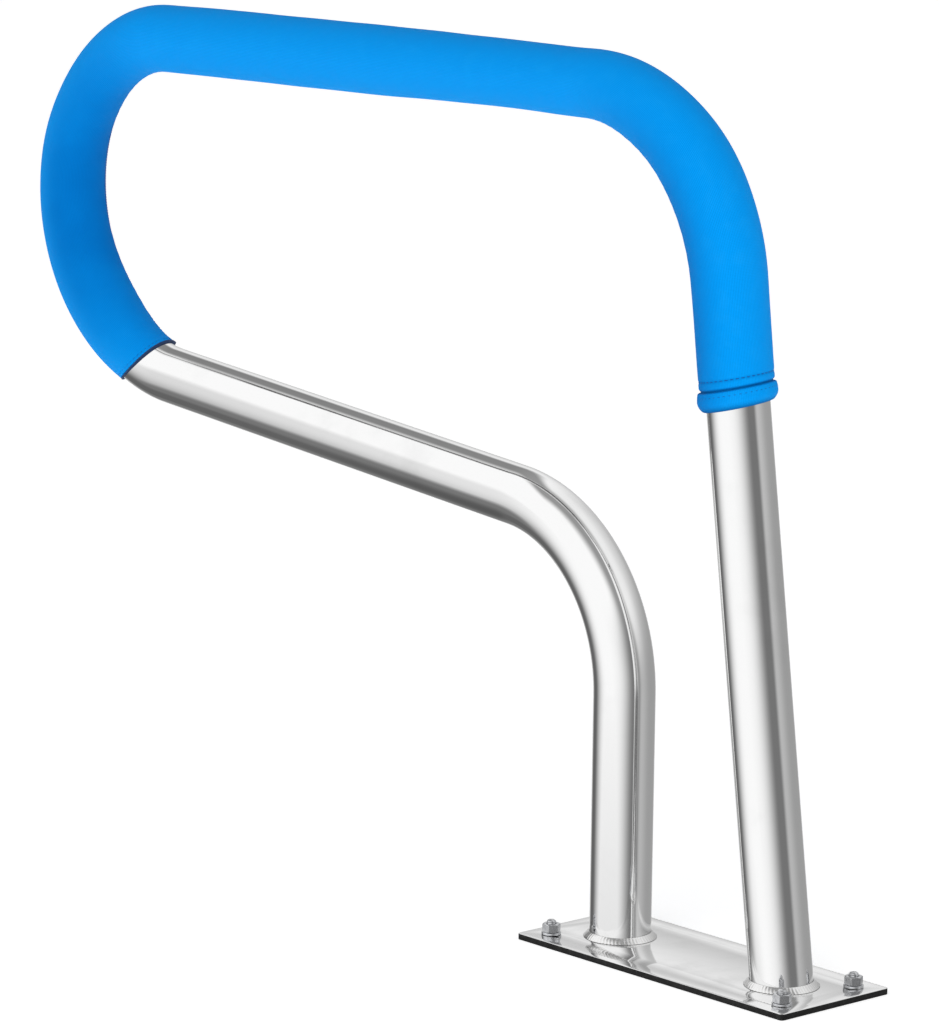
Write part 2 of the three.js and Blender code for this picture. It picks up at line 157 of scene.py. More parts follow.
RUNS = make_runs()
RAIL_LENGTH = RUNS[-1][4] + RUNS[-1][5]
CAMERA_SIDE = np.array((0.0, -1.0, 0.0))


def run_at(distance):
    return [run for run in RUNS if run[4] <= distance or run is RUNS[0]][-1]


def rail_frames(distances):
    """Points, tangents and inner-side directions at distances along the rail, as (n, 3) arrays."""
    placed = [along(run_at(d), d - run_at(d)[4]) for d in distances]
    x, z, heading = np.array(placed).T
    zero = np.zeros_like(x)
    points = np.stack((x, zero, z), axis=1)
    tangents = np.stack((np.cos(heading), zero, np.sin(heading)), axis=1)
    inner = np.stack((np.sin(heading), zero, -np.cos(heading)), axis=1)
    return points, tangents, inner


def eased(share):
    """A share clipped to 0 to 1 and smoothed at both ends."""
    share = np.clip(share, 0, 1)
    return share * share * (3 - 2 * share)


def bend_amount(distances):
    """How bent the rail is at each distance, 0 on a straight and 1 in a bend, eased between."""
    ease = 12 * MM
    amount = np.zeros(np.shape(distances))
    for _, _, _, curvature, start, length in RUNS:
        if curvature:
            into = np.clip((distances - start) / ease, 0, 1)
            out = np.clip((start + length - distances) / ease, 0, 1)
            amount = np.maximum(amount, np.minimum(into, out))
    return eased(amount)


def spaced(start, end, step):
    return np.linspace(start, end, max(2, int(round((end - start) / step)) + 1))


# --- Mesh building ------------------------------------------------------------


def add_object(name, data):
    added = bpy.data.objects.new(name, data)
    bpy.context.scene.collection.objects.link(added)
    return added


def mesh_piece(name, mesh, body="rail", sharp_degrees=35):
    """A visible piece riding a body, smooth but for its sharp edges."""
    mesh.shade_smooth()
    mesh.set_sharp_from_angle(angle=math.radians(sharp_degrees))
    piece = add_object(name, mesh)
    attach(piece, body)
    return piece


def new_piece(name, vertices, faces, slot, sharp_degrees=35):
    mesh = bpy.data.meshes.new(name)
    mesh.from_pydata([tuple(v) for v in vertices], [], faces)
    mesh.validate()
    return mesh_piece(name, mesh, sharp_degrees=sharp_degrees)


def paint(piece, *materials):
    for material in materials:
        piece.data.materials.append(material)


def set_attribute(piece, name, values):
    """Writes one vector or one number per vertex, for materials to read."""
    values = np.asarray(values, np.float32)
    kind, field = ("FLOAT_VECTOR", "vector") if values.ndim == 2 else ("FLOAT", "value")
    attribute = piece.data.attributes.new(name, kind, "POINT")
    attribute.data.foreach_set(field, values.ravel())


def grid_faces(rows, columns, wrap_rows=False, wrap_columns=True, start=0):
    """Quads over a grid of vertices, facing out where columns run anticlockwise about the rows."""
    faces = []
    for i in range(rows if wrap_rows else rows - 1):
        for j in range(columns if wrap_columns else columns - 1):
            a = start + i * columns + j
            b = start + i * columns + (j + 1) % columns
            c = start + ((i + 1) % rows) * columns + (j + 1) % columns
            d = start + ((i + 1) % rows) * columns + j
            faces.append((a, b, c, d))
    return faces


def solid_faces(rows, columns, start=0):
    """The faces of a closed solid: a grid wrapped round its columns, with flat ends."""
    faces = grid_faces(rows, columns, start=start)
    last = start + (rows - 1) * columns
    faces.append(tuple(start + j for j in reversed(range(columns))))
    faces.append(tuple(last + j for j in range(columns)))
    return faces


def sweep_points(distances, outlines):
    """Places outlines, an (n, m, 2) array of camera-side and inner-side offsets, along the rail.

    Distances are one per outline, or one per point of each outline.
    """
    rows, count, _ = outlines.shape
    spread = np.broadcast_to(np.reshape(distances, (rows, -1)), (rows, count))
    points, _, inner = rail_frames(spread.ravel())
    offsets = outlines.reshape(-1, 2)
    placed = points + offsets[:, :1] * CAMERA_SIDE + offsets[:, 1:] * inner
    return placed.reshape(rows, count, 3)


def swept_piece(name, distances, outlines, slot, **options):
    """A closed solid swept along the rail, with flat ends."""
    rows, count, _ = outlines.shape
    placed = sweep_points(distances, outlines)
    return new_piece(name, placed.reshape(-1, 3), solid_faces(rows, count), slot, **options)


def zip_offsets(side, out):
    """Camera-side and inner-side offsets of points given across the zip and out from the axis."""
    x = side * math.cos(ZIP_TURN) - out * math.sin(ZIP_TURN)
    y = side * math.sin(ZIP_TURN) + out * math.cos(ZIP_TURN)
    return np.stack((x, y), axis=-1)


# --- Camera and stage ---------------------------------------------------------

CAMERA_PLACE = Vector((1.94775, -1.91099, 0.76683))
CAMERA_YAW = math.radians(48.531)
CAMERA_PITCH = math.radians(10.188)
CAMERA_ROLL = math.radians(0.677)
CAMERA_LENS = 163.9
SENSOR_WIDTH = 36
CLIP_RANGE = (0.05, 300)


def make_camera():
    forward = Vector((
        -math.sin(CAMERA_YAW) * math.cos(CAMERA_PITCH),
        math.cos(CAMERA_YAW) * math.cos(CAMERA_PITCH),
        -math.sin(CAMERA_PITCH),
    ))
    level = Vector((math.cos(CAMERA_YAW), math.sin(CAMERA_YAW), 0))
    upright = level.cross(forward)
    right = level * math.cos(CAMERA_ROLL) + upright * math.sin(CAMERA_ROLL)
    up = upright * math.cos(CAMERA_ROLL) - level * math.sin(CAMERA_ROLL)
    data = bpy.data.cameras.new("camera")
    data.lens = CAMERA_LENS
    data.sensor_width = SENSOR_WIDTH
    data.clip_start, data.clip_end = CLIP_RANGE
    camera = add_object("camera", data)
    turned = Matrix((right, up, -forward)).transposed()
    camera.matrix_world = Matrix.Translation(CAMERA_PLACE) @ turned.to_4x4()
    bpy.context.scene.camera = camera


make_camera()

# --- Material building --------------------------------------------------------


class Shading:
    """A node tree with short ways to add and join its nodes."""

    def __init__(self, tree):
        self.tree = tree

    def add(self, kind, settings=None, **inputs):
        node = self.tree.nodes.new(kind)
        for name, value in (settings or {}).items():
            setattr(node, name, value)
        for name, value in inputs.items():
            self.feed(node.inputs[name.replace("_", " ")], value)
        return node

    def feed(self, socket, value):
        if isinstance(value, bpy.types.NodeSocket):
            self.tree.links.new(value, socket)
        elif value is not None:
            socket.default_value = value

    def math(self, operation, a, b=None, clamp=False):
        node = self.tree.nodes.new("ShaderNodeMath")
        node.operation = operation
        node.use_clamp = clamp
        self.feed(node.inputs[0], a)
        self.feed(node.inputs[1], b)
        return node.outputs[0]

    def plus(self, a, b, clamp=False):
        return self.math("ADD", a, b, clamp)

    def minus(self, a, b):
        return self.math("SUBTRACT", a, b)

    def times(self, a, b, clamp=False):
        return self.math("MULTIPLY", a, b, clamp)

    def wave(self, value, period):
        return self.math("SINE", self.times(value, TAU / period))

    def dot(self, a, b):
        node = self.add("ShaderNodeVectorMath", {"operation": "DOT_PRODUCT"})
        self.feed(node.inputs[0], a)
        self.feed(node.inputs[1], b)
        return node.outputs["Value"]

    def band(self, value, low, high, to_low=0.0, to_high=1.0):
        """Eases value from to_low at low to to_high at high."""
        node = self.add("ShaderNodeMapRange", {"interpolation_type": "SMOOTHSTEP"})
        for socket, number in zip(node.inputs, (value, low, high, to_low, to_high)):
            self.feed(socket, number)
        return node.outputs[0]

    def mix(self, share, a, b):
        """A colour from a at share 0 to b at share 1."""
        node = self.add("ShaderNodeMix", {"data_type": "RGBA"})
        self.feed(node.inputs[0], share)
        self.feed(node.inputs[6], a)
        self.feed(node.inputs[7], b)
        return node.outputs[2]

    def scaled(self, vector, scale):
        node = self.add("ShaderNodeMapping", Vector=vector)
        node.inputs["Scale"].default_value = scale
        return node.outputs[0]

    def noise(self, vector, scale, detail=3.0, roughness=0.5):
        node = self.add("ShaderNodeTexNoise", Vector=vector, Scale=scale, Detail=detail, Roughness=roughness)
        return node.outputs["Fac"]

    def split(self, vector):
        return self.add("ShaderNodeSeparateXYZ", Vector=vector).outputs

    def attribute(self, name):
        return self.add("ShaderNodeAttribute", {"attribute_name": name}).outputs

    def place(self):
        """Each point's place in the frame, in metres."""
        return self.add("ShaderNodeTexCoord").outputs["Object"]

    def bump(self, height, distance, strength=1.0, under=None):
        node = self.add("ShaderNodeBump", Height=height, Distance=distance, Strength=strength)
        self.feed(node.inputs["Normal"], under)
        return node.outputs[0]


class Finish(Shading):
    """A Principled material."""

    def __init__(self, name, colour, roughness, metallic=0.0, **sockets):
        self.material = bpy.data.materials.new(name)
        self.material.use_nodes = True
        super().__init__(self.material.node_tree)
        self.surface = self.tree.nodes["Principled BSDF"]
        self.set(Base_Color=colour, Roughness=roughness, Metallic=metallic, **sockets)

    def set(self, **inputs):
        for name, value in inputs.items():
            self.feed(self.surface.inputs[name.replace("_", " ")], value)


def grey(value):
    return (value, value, value, 1.0)


def scaled_colour(colour, share, lift=0.0):
    return tuple(min(1.0, c * share + lift) for c in colour[:3]) + (1.0,)


def polished_tube():
    """Mirror-polished tube: faint drawing lines along it, a trace of waviness and light smudges."""
    finish = Finish("polished_tube", grey(0.9), 0.06, metallic=1.0)
    wrap = finish.attribute("wrap")["Vector"]
    lines = finish.noise(finish.scaled(wrap, (1.0, 1.0, 0.012)), 1400, 4, 0.6)
    smudges = finish.noise(wrap, 22, 5, 0.62)
    waves = finish.noise(finish.scaled(wrap, (1.0, 1.0, 0.35)), 26, 1)
    finish.set(
        Roughness=finish.plus(finish.band(smudges, 0.45, 0.75, 0.045, 0.10),
                              finish.band(lines, 0.4, 0.8, 0.0, 0.05)),
        Base_Color=finish.mix(finish.band(smudges, 0.5, 0.8), grey(0.9), grey(0.84)),
        Normal=finish.bump(lines, 0.004 * MM, 0.5, finish.bump(waves, 0.12 * MM, 0.5)),
    )
    return finish.material


def polished_plate():
    """Polished plate: fine lines along it, smudges, and a few faint scuffs."""
    finish = Finish("polished_plate", grey(0.86), 0.1, metallic=1.0)
    place = finish.place()
    lines = finish.noise(finish.scaled(place, (0.02, 1.0, 1.0)), 2600, 3, 0.6)
    smudges = finish.noise(place, 30, 5, 0.6)
    scuffs = finish.noise(finish.scaled(place, (0.15, 1.0, 1.0)), 300, 2, 0.5)
    finish.set(
        Roughness=finish.plus(finish.band(smudges, 0.4, 0.75, 0.07, 0.16),
                              finish.band(scuffs, 0.62, 0.78, 0.0, 0.1)),
        Base_Color=finish.mix(finish.band(smudges, 0.45, 0.8), grey(0.87), grey(0.78)),
        Normal=finish.bump(lines, 0.006 * MM, 0.6),
    )
    return finish.material


def shaded_plate_edge():
    """The plate's laser-cut sides: fine upright striations, under a near-black colour that is painted shade.
    """
    finish = Finish("shaded_plate_edge", grey(0.01), 0.6, metallic=0.3)
    place = finish.place()
    ridges = finish.noise(finish.scaled(place, (1.0, 1.0, 0.05)), 3000, 2)
    stain = finish.noise(place, 260, 4)
    finish.set(
        Base_Color=finish.mix(finish.band(stain, 0.3, 0.8), grey(0.006), grey(0.018)),
        Roughness=finish.band(ridges, 0.3, 0.7, 0.5, 0.7),
        Normal=finish.bump(ridges, 0.05 * MM, 0.7),
    )
    return finish.material


def weld_metal():
    """Polished fillet weld, with a breath of straw heat tint in its ripples."""
    finish = Finish("weld_metal", grey(0.8), 0.2, metallic=1.0)
    ripple = finish.attribute("ripple")["Fac"]
    grain = finish.noise(finish.place(), 900, 3)
    tint = finish.band(ripple, 0.0, 0.5, 0.15, 0.0)
    finish.set(
        Base_Color=finish.mix(tint, grey(0.84), (0.66, 0.6, 0.52, 1)),
        Roughness=finish.band(grain, 0.3, 0.7, 0.12, 0.26),
        Normal=finish.bump(grain, 0.02 * MM, 0.5),
    )
    return finish.material


def knit_height(finish, sleeve, pitch):
    """Small V-shaped loops, in rows along the sleeve and courses round it."""
    around, lengthwise, _ = finish.split(sleeve)
    column = finish.math("FRACT", finish.math("DIVIDE", around, pitch))
    slant = finish.math("ABSOLUTE", finish.minus(column, 0.5))
    course = finish.plus(finish.math("DIVIDE", lengthwise, pitch * 0.8), slant)
    loop = finish.wave(course, 1)
    furrow = finish.wave(column, 2)
    return finish.times(finish.plus(loop, 1.6), furrow)


SKY_TINT = (0.1, 0.55, 1.0, 1.0)


def jersey(name, colour, shaded, pitch=0.95 * MM):
    """Knitted jersey bonded to foam: loops and mottling, with painted shade on the loop's inner side of
    upright runs, in the knit's hollows and in sewn grooves.
    """
    finish = Finish(name, colour, 0.72, Sheen_Weight=0.04, Sheen_Roughness=0.5, Sheen_Tint=SKY_TINT)
    finish.set(Specular_IOR_Level=0.12, Specular_Tint=SKY_TINT)
    sleeve = finish.attribute("sleeve")["Vector"]
    inside = finish.attribute("inside")["Fac"]
    knit = knit_height(finish, sleeve, pitch)
    mottle = finish.noise(sleeve, 90, 4, 0.6)
    soft = finish.noise(sleeve, 14, 2)
    # Painted shade: where the inside mask is set, the colour darkens towards the shaded copy.
    depth = finish.times(inside, finish.band(soft, 0.3, 0.7, 0.75, 1.0), clamp=True)
    light = scaled_colour(colour, 1.1, 0.008)
    base = finish.mix(finish.band(mottle, 0.42, 0.72, 0.0, 0.3), colour, light)
    base = finish.mix(depth, base, shaded)
    # Painted shade: the knit's hollows and the sewn grooves darken towards a still darker copy of the shaded
    # colour.
    furrow_shade = finish.band(knit, 0.0, 0.9, 0.3, 0.0)
    groove_shade_colour = scaled_colour(shaded, 0.5)
    base = finish.mix(furrow_shade, base, groove_shade_colour)
    base = finish.mix(finish.times(finish.attribute("painted_seam_shade")["Fac"], 0.85), base, groove_shade_colour)
    finish.set(
        Base_Color=base,
        Roughness=finish.band(mottle, 0.3, 0.7, 0.66, 0.8),
        Normal=finish.bump(knit, 0.09 * MM, 0.5, finish.bump(mottle, 0.25 * MM, 0.35)),
    )
    return finish.material


def twill(name, colour, shaded, pitch=0.7 * MM):
    """Woven tape: diagonal ribs crossed by fine weft, with painted shade where the weave sinks."""
    finish = Finish(name, colour, 0.7, Sheen_Weight=0.1)
    around, lengthwise, _ = finish.split(finish.attribute("sleeve")["Vector"])
    slope = finish.plus(around, lengthwise)
    ribs = finish.wave(slope, pitch)
    weft = finish.wave(lengthwise, pitch * 0.55)
    height = finish.plus(ribs, finish.times(weft, 0.4))
    finish.set(
        Base_Color=finish.mix(finish.band(height, -1.0, 1.0), shaded, colour),
        Roughness=finish.band(height, -1.0, 1.0, 0.8, 0.62),
        Normal=finish.bump(height, 0.05 * MM, 0.8),
    )
    return finish.material


def thread(name, colour):
    """Sewing thread: its twist shows as fine slanting ridges, with painted shade between them."""
    finish = Finish(name, colour, 0.6, Specular_IOR_Level=0.2)
    x, y, z = finish.split(finish.place())
    slope = finish.plus(finish.plus(x, y), z)
    twist = finish.wave(slope, 0.35 * MM)
    finish.set(
        Base_Color=finish.mix(finish.band(twist, -1.0, 1.0), scaled_colour(colour, 0.6), colour),
        Normal=finish.bump(twist, 0.03 * MM, 0.6),
    )
    return finish.material


def moulded(name, colour, roughness):
    """Moulded plastic: a fine matt grain with slight uneven gloss."""
    finish = Finish(name, colour, roughness)
    place = finish.place()
    grain = finish.noise(place, 2500, 2)
    gloss = finish.noise(place, 150, 3)
    finish.set(
        Base_Color=finish.mix(finish.band(gloss, 0.3, 0.7, 0.0, 0.4), colour, scaled_colour(colour, 0.7)),
        Roughness=finish.band(gloss, 0.3, 0.7, roughness - 0.08, roughness + 0.1),
        Normal=finish.bump(grain, 0.02 * MM, 0.4),
    )
    return finish.material


def plated(name, colour, worn, roughness):
    """Plated or die-cast metal: satin, a little blotchy, brighter where edges have been rubbed."""
    finish = Finish(name, colour, roughness, metallic=1.0)
    place = finish.place()
    blotches = finish.noise(place, 320, 5, 0.6)
    grain = finish.noise(place, 2200, 3)
    edges = finish.add("ShaderNodeBevel", {"samples": 4}, Radius=0.35 * MM).outputs[0]
    normal = finish.add("ShaderNodeNewGeometry").outputs["Normal"]
    rubbed = finish.band(finish.dot(edges, normal), 0.995, 0.93)
    base = finish.mix(finish.band(blotches, 0.35, 0.7), colour, scaled_colour(colour, 0.8))
    finish.set(
        Base_Color=finish.mix(rubbed, base, worn),
        Roughness=finish.band(blotches, 0.3, 0.75, roughness - 0.07, roughness + 0.12),
        Normal=finish.bump(grain, 0.02 * MM, 0.5),
    )
    return finish.material


# The _SHADED colours are darker copies of the cloth colours, used as painted shade.
BLUE = (0.001, 0.345, 0.97, 1.0)
BLUE_SHADED = (0.0, 0.165, 0.56, 1.0)
NAVY = (0.003, 0.045, 0.17, 1.0)
NAVY_SHADED = (0.002, 0.02, 0.08, 1.0)
ZIP_BLUE = (0.004, 0.13, 0.5, 1.0)

TUBE_STEEL = polished_tube()
PLATE_STEEL = polished_plate()
SHADED_PLATE_EDGE = shaded_plate_edge()
WELD_STEEL = weld_metal()
JERSEY = jersey("blue_jersey", BLUE, BLUE_SHADED)
NAVY_TAPE = twill("navy_binding", NAVY, NAVY_SHADED)
# The zip tape's weave takes the navy as its painted shade.
ZIP_TAPE = twill("zip_tape_weave", ZIP_BLUE, NAVY)
THREAD = thread("blue_thread", (0.002, 0.11, 0.5, 1.0))
TEETH_PLASTIC = moulded("teeth_plastic", (0.004, 0.11, 0.44, 1.0), 0.35)
ZIP_METAL = plated("zip_metal", grey(0.55), grey(0.8), 0.3)
ZINC = plated("zinc_plate", (0.66, 0.67, 0.69, 1.0), grey(0.86), 0.28)

# --- World, floor and light ----------------------------------------------------

SOFT_LIGHT_FROM = Vector((0.70, -0.66, 0.28)).normalized()
SOFT_LIGHT_LEVEL = 1.15
SOFT_SHADE_LEVEL = 0.27
BACKDROP_LEVEL = 1.02
FRONT_LEVEL = 1.06
CARD_EDGE = -0.12
FLOOR_HALF_SIZE = 80
FLOOR_GLOW = 0.56

# Each lamp's name, place, diameter and watts.
LIGHTS = (
    ("key", (1.2, -2.6, 2.8), 2.4, 14),
    ("fill", (-2.6, -1.6, 1.4), 2.0, 3),
)
LIGHT_TARGET = Vector((-0.2, 0, 0.3))


def reflected_studio(sky):
    """What polished steel sees: white in front, a dark card in the rail's plane, grey behind and below."""
    direction = sky.add("ShaderNodeTexCoord").outputs["Generated"]
    x, y, z = sky.split(direction)
    elevation = sky.times(sky.math("ARCSINE", z), 180 / math.pi)

    # The card leans as it rises: to the far side at the left, and a little to the near side elsewhere.
    left = sky.band(x, -0.25, -0.6)
    high = sky.band(elevation, 5, 40)
    left_high = sky.times(left, high)
    right_high = sky.minus(high, left_high)
    lean = sky.minus(sky.times(left_high, 0.38), sky.times(right_high, 0.1))
    across = sky.minus(y, lean)

    # In front, white darkens to the card. Behind it is grey: darker far off, and lighter at the left.
    bright_edge = sky.plus(sky.band(x, -0.2, 0.3, -0.95, -1.08), sky.times(high, 0.55))
    near_card = sky.band(across, bright_edge, CARD_EDGE)
    card = sky.times(sky.band(elevation, 5, 40, 0.19, 0.33), sky.band(x, -0.4, -0.8, 1.0, 0.7))
    front = sky.mix(near_card, grey(FRONT_LEVEL), card)
    behind_level = sky.band(elevation, -5, 35, 0.5, 0.92)
    behind_side = sky.times(behind_level, sky.band(y, 0.45, 0.95, 1.0, 0.72))
    behind = sky.plus(behind_side, sky.band(x, -0.2, -0.6, 0.0, 0.14), clamp=True)
    light = sky.mix(sky.band(across, 0.15, 0.42), front, behind)

    # Below the horizon everything dims.
    below = sky.plus(sky.band(elevation, -40, -30, 0.1, 0.2), sky.band(elevation, -28, -9, 0.0, 0.9))
    return sky.math("MINIMUM", light, below)


def diffuse_studio(sky):
    """Soft light for cloth and paint, strongest from in front of the rail's near side."""
    direction = sky.add("ShaderNodeTexCoord").outputs["Generated"]
    facing = sky.dot(direction, SOFT_LIGHT_FROM)
    frontal = sky.math("POWER", sky.math("MAXIMUM", facing, 0.0), 2.0)
    return sky.plus(sky.times(frontal, SOFT_LIGHT_LEVEL), SOFT_SHADE_LEVEL)


def make_world():
    """White to the camera, soft to cloth, and the studio's cards to steel."""
    world = bpy.data.worlds.new("studio")
    world.use_nodes = True
    sky = Shading(world.node_tree)
    path = sky.add("ShaderNodeLightPath").outputs
    lit = sky.mix(path["Is Diffuse Ray"], reflected_studio(sky), diffuse_studio(sky))
    colour = sky.mix(path["Is Camera Ray"], lit, grey(BACKDROP_LEVEL))
    background = sky.tree.nodes["Background"]
    sky.feed(background.inputs["Color"], colour)
    bpy.context.scene.world = world


def make_floor():
    """A wide pale floor, which steel doesn't reflect."""
    size = FLOOR_HALF_SIZE
    corners = [(-size, -size, 0), (size, -size, 0), (size, size, 0), (-size, size, 0)]
    mesh = bpy.data.meshes.new("floor")
    mesh.from_pydata(corners, [], [(0, 1, 2, 3)])
    finish = Finish("floor_paint", grey(0.86), 0.9)
    speckle = finish.noise(finish.place(), 40, 3)
    finish.set(
        Base_Color=finish.mix(speckle, grey(0.84), grey(0.88)),
        Emission_Color=grey(1.0),
        Emission_Strength=FLOOR_GLOW,
        Specular_IOR_Level=0.0,
    )
    mesh.materials.append(finish.material)
    floor = add_object("floor", mesh)
    floor.visible_glossy = False


def make_light(name, place, size, watts):
    data = bpy.data.lights.new(name, "AREA")
    data.shape = "DISK"
    data.size = size
    data.energy = watts
    lamp = add_object(name, data)
    lamp.location = place
    lamp.rotation_euler = (LIGHT_TARGET - Vector(place)).to_track_quat("-Z", "Y").to_euler()
    lamp.visible_glossy = False


make_world()
make_floor()
for light in LIGHTS:
    make_light(*light)
bpy.context.scene.view_settings.view_transform = "Standard"

# --- Rail, plate and welds ----------------------------------------------------

FOOT_GAP = 0.15 * MM
WELD_LEG = 3.6 * MM
WELD_HOLLOW = 1.75
WELD_SIDES = 288
WELD_RIPPLES = 60
TUBE_SIDES = 96


def stations_between(start, end, bend_step, straight_step, extra=()):
    """Distances from start to end: close together in bends, far apart on straights."""
    places = [start, end, *extra]
    for _, _, _, curvature, run_start, length in RUNS:
        step = bend_step if curvature else straight_step
        places.extend(spaced(run_start, run_start + length, step))
    return np.unique(np.round(np.clip(places, start, end), 5))


def circle_points(radius, count):
    angles = np.arange(count) * TAU / count
    return np.stack((radius * np.cos(angles), radius * np.sin(angles)), axis=1)


def make_tube():
    """The bent tube, hollow, with its rear foot cut level just above the plate."""
    distances = stations_between(FOOT_GAP, RAIL_LENGTH, 4 * MM, 20 * MM)
    _, tangents, _ = rail_frames(distances[-1:])
    walls, wraps = [], []
    for radius, rows in ((TUBE_RADIUS, distances), (TUBE_RADIUS - TUBE_WALL, distances[::-1])):
        circle = circle_points(radius, TUBE_SIDES)
        wall = sweep_points(rows, np.tile(circle, (len(rows), 1, 1)))
        foot = wall[-1] if rows is distances else wall[0]
        foot += tangents[0] * ((PLATE_TOP + FOOT_GAP - foot[:, 2]) / tangents[0][2])[:, None]
        walls.append(wall)
        turns = np.tile(circle, (len(rows), 1))
        wraps.append(np.column_stack((turns, np.repeat(rows, TUBE_SIDES))))
    vertices = np.concatenate(walls)
    faces = grid_faces(len(vertices), TUBE_SIDES, wrap_rows=True)
    piece = new_piece("polished_rail", vertices.reshape(-1, 3), faces, "polished_steel")
    set_attribute(piece, "wrap", np.concatenate(wraps))
    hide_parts("rail_tube")
    paint(piece, TUBE_STEEL)


def add_loop(curve, points):
    """Adds a closed straight-sided loop to a flat curve."""
    loop = curve.splines.new("POLY")
    loop.points.add(len(points) - 1)
    for point, (x, y) in zip(loop.points, points):
        point.co = (x, y, 0, 1)
    loop.use_cyclic_u = True


def flat_mesh(name, loops, thickness, bevel):
    """A plate with rounded edges, from an outline and its holes, centred on z = 0."""
    curve = bpy.data.curves.new(name, "CURVE")
    curve.dimensions = "2D"
    curve.fill_mode = "BOTH"
    curve.extrude = thickness / 2 - bevel
    curve.bevel_depth = bevel
    curve.bevel_resolution = 2
    curve.offset = -bevel
    for points in loops:
        add_loop(curve, points)
    holder = bpy.data.objects.new(name, curve)
    mesh = bpy.data.meshes.new_from_object(holder)
    bpy.data.objects.remove(holder)
    bpy.data.curves.remove(curve)
    solid = bmesh.new()
    solid.from_mesh(mesh)
    bmesh.ops.remove_doubles(solid, verts=solid.verts, dist=0.002 * MM)
    bmesh.ops.recalc_face_normals(solid, faces=solid.faces)
    solid.to_mesh(mesh)
    solid.free()
    return mesh


def rounded_rectangle(width, length, radius, steps=5):
    """Points anticlockwise round a rectangle with rounded corners, centred on the origin."""
    centre = np.array((width / 2 - radius, length / 2 - radius))
    points = []
    for corner, signs in enumerate(((1, 1), (-1, 1), (-1, -1), (1, -1))):
        angles = (corner + np.arange(steps + 1) / steps) * math.pi / 2
        points.append(centre * signs + radius * np.stack((np.cos(angles), np.sin(angles)), axis=1))
    return np.concatenate(points)


PLATE_CORNER = 2.5 * MM
PLATE_BEVEL = 0.45 * MM
HOLE_RADIUS = 4.5 * MM
HOLE_SIDES = 48
HOLE_PLACES = [(x * MM, y * MM) for x in (-100, 100) for y in (-30, 30)]


def make_plate():
    size = plate_high - plate_low
    loops = [rounded_rectangle(size.x, size.y, PLATE_CORNER)]
    for place in HOLE_PLACES:
        loops.append(circle_points(HOLE_RADIUS, HOLE_SIDES) + place)
    mesh = flat_mesh("plate", loops, size.z, PLATE_BEVEL)
    mesh.transform(Matrix.Translation((0, 0, (plate_low.z + plate_high.z) / 2)))
    piece = mesh_piece("polished_plate", mesh, sharp_degrees=20)
    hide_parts("base_plate")
    paint(piece, PLATE_STEEL, SHADED_PLATE_EDGE)
    # The upright faces, the plate's sides and hole walls, take the near-black painted shade.
    for face in mesh.polygons:
        face.material_index = int(abs(face.normal.z) < 0.3)


def turned_piece(name, centre, profiles, slot, closed=True, sharp_degrees=35):
    """A solid from one profile of (radius, height) per angle, each running down its outer side."""
    sides, count, _ = profiles.shape
    angles = np.arange(sides) * TAU / sides
    radii, heights = profiles[:, :, 0], profiles[:, :, 1]
    x = centre[0] + radii * np.cos(angles)[:, None]
    y = centre[1] + radii * np.sin(angles)[:, None]
    vertices = np.stack((x, y, centre[2] + heights), axis=-1).reshape(-1, 3)
    faces = grid_faces(sides, count, wrap_rows=True, wrap_columns=closed)
    if not closed:
        faces.append(tuple(i * count for i in range(sides)))
        faces.append(tuple(i * count + count - 1 for i in reversed(range(sides))))
    return new_piece(name, vertices, faces, slot, sharp_degrees=sharp_degrees)


def make_weld(name, node, x, lean):
    """A fillet bead with fine ripples round a leg's foot, sheared to follow a leg that leans."""
    section = np.linspace(0, math.pi / 2, 11)
    around = np.arange(WELD_SIDES) * TAU / WELD_SIDES
    phase = WELD_RIPPLES * around[:, None] + 1.5 * np.sin(2 * section)[None, :]
    crest = 0.5 + 0.5 * np.cos(phase)
    wander = 1 + 0.03 * np.sin(3 * around + 1)[:, None]
    middle = np.sin(2 * section)[None, :]
    reach = WELD_LEG * wander * (1 - 0.04 * (1 - crest) * middle)
    foot = np.full((WELD_SIDES, 1), FOOT_GAP)
    radii = np.concatenate((TUBE_RADIUS + reach * np.sin(section) ** WELD_HOLLOW, foot + TUBE_RADIUS), axis=1)
    heights = np.concatenate((np.maximum(reach * np.cos(section) ** WELD_HOLLOW, FOOT_GAP), foot), axis=1)
    radii[:, 0] = TUBE_RADIUS + FOOT_GAP
    profiles = np.stack((radii, heights), axis=-1)
    piece = turned_piece(name, (0, 0, 0), profiles, "weld_steel", sharp_degrees=50)
    crests = np.concatenate((crest, foot * 0), axis=1)
    set_attribute(piece, "ripple", crests.ravel())
    shear = Matrix.Identity(4)
    shear[0][0] = 1 / math.cos(lean)
    shear[0][2] = -math.tan(lean)
    piece.data.transform(Matrix.Translation((x, 0, PLATE_TOP)) @ shear)
    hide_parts(node)
    paint(piece, WELD_STEEL)


def make_welds():
    _, tangents, _ = rail_frames([RAIL_LENGTH])
    lean = math.atan2(tangents[0][0], -tangents[0][2])
    make_weld("front_weld_bead", "weld_front", CORNERS[0][0], 0.0)
    make_weld("rear_weld_bead", "weld_rear", CORNERS[-1][0], lean)


make_tube()
make_plate()
make_welds()

# --- Grip cover ----------------------------------------------------------------

COVER_WALL = COVER_OUTER - COVER_INNER
EDGE_ROUND = COVER_WALL / 2
OUTER_STEPS = 120
INNER_STEPS = 40
EDGE_STEPS = 5
STITCH_IN = 3 * MM
UNEVEN_HEIGHT = 0.1 * MM
CREASE_HEIGHT = 0.1 * MM
CREASE_PITCH = 10.5 * MM
SEAM_DEPTH = 1.2 * MM
GATHER_DEPTH = 2.4 * MM
GATHER_LENGTH = 6 * MM
ZIP_MARGIN = 4 * MM

# How far each end of the cover is pulled along the rail, in millimetres: all round, more towards
# the loop's inner side, and more towards the camera side.
NOSE_PULL = (-0.7, -15.2, -5.7)
NOSE_EASE = 80 * MM
CUFF_PULL = (2.5, 1.33, 2.18)
CUFF_EASE = 60 * MM

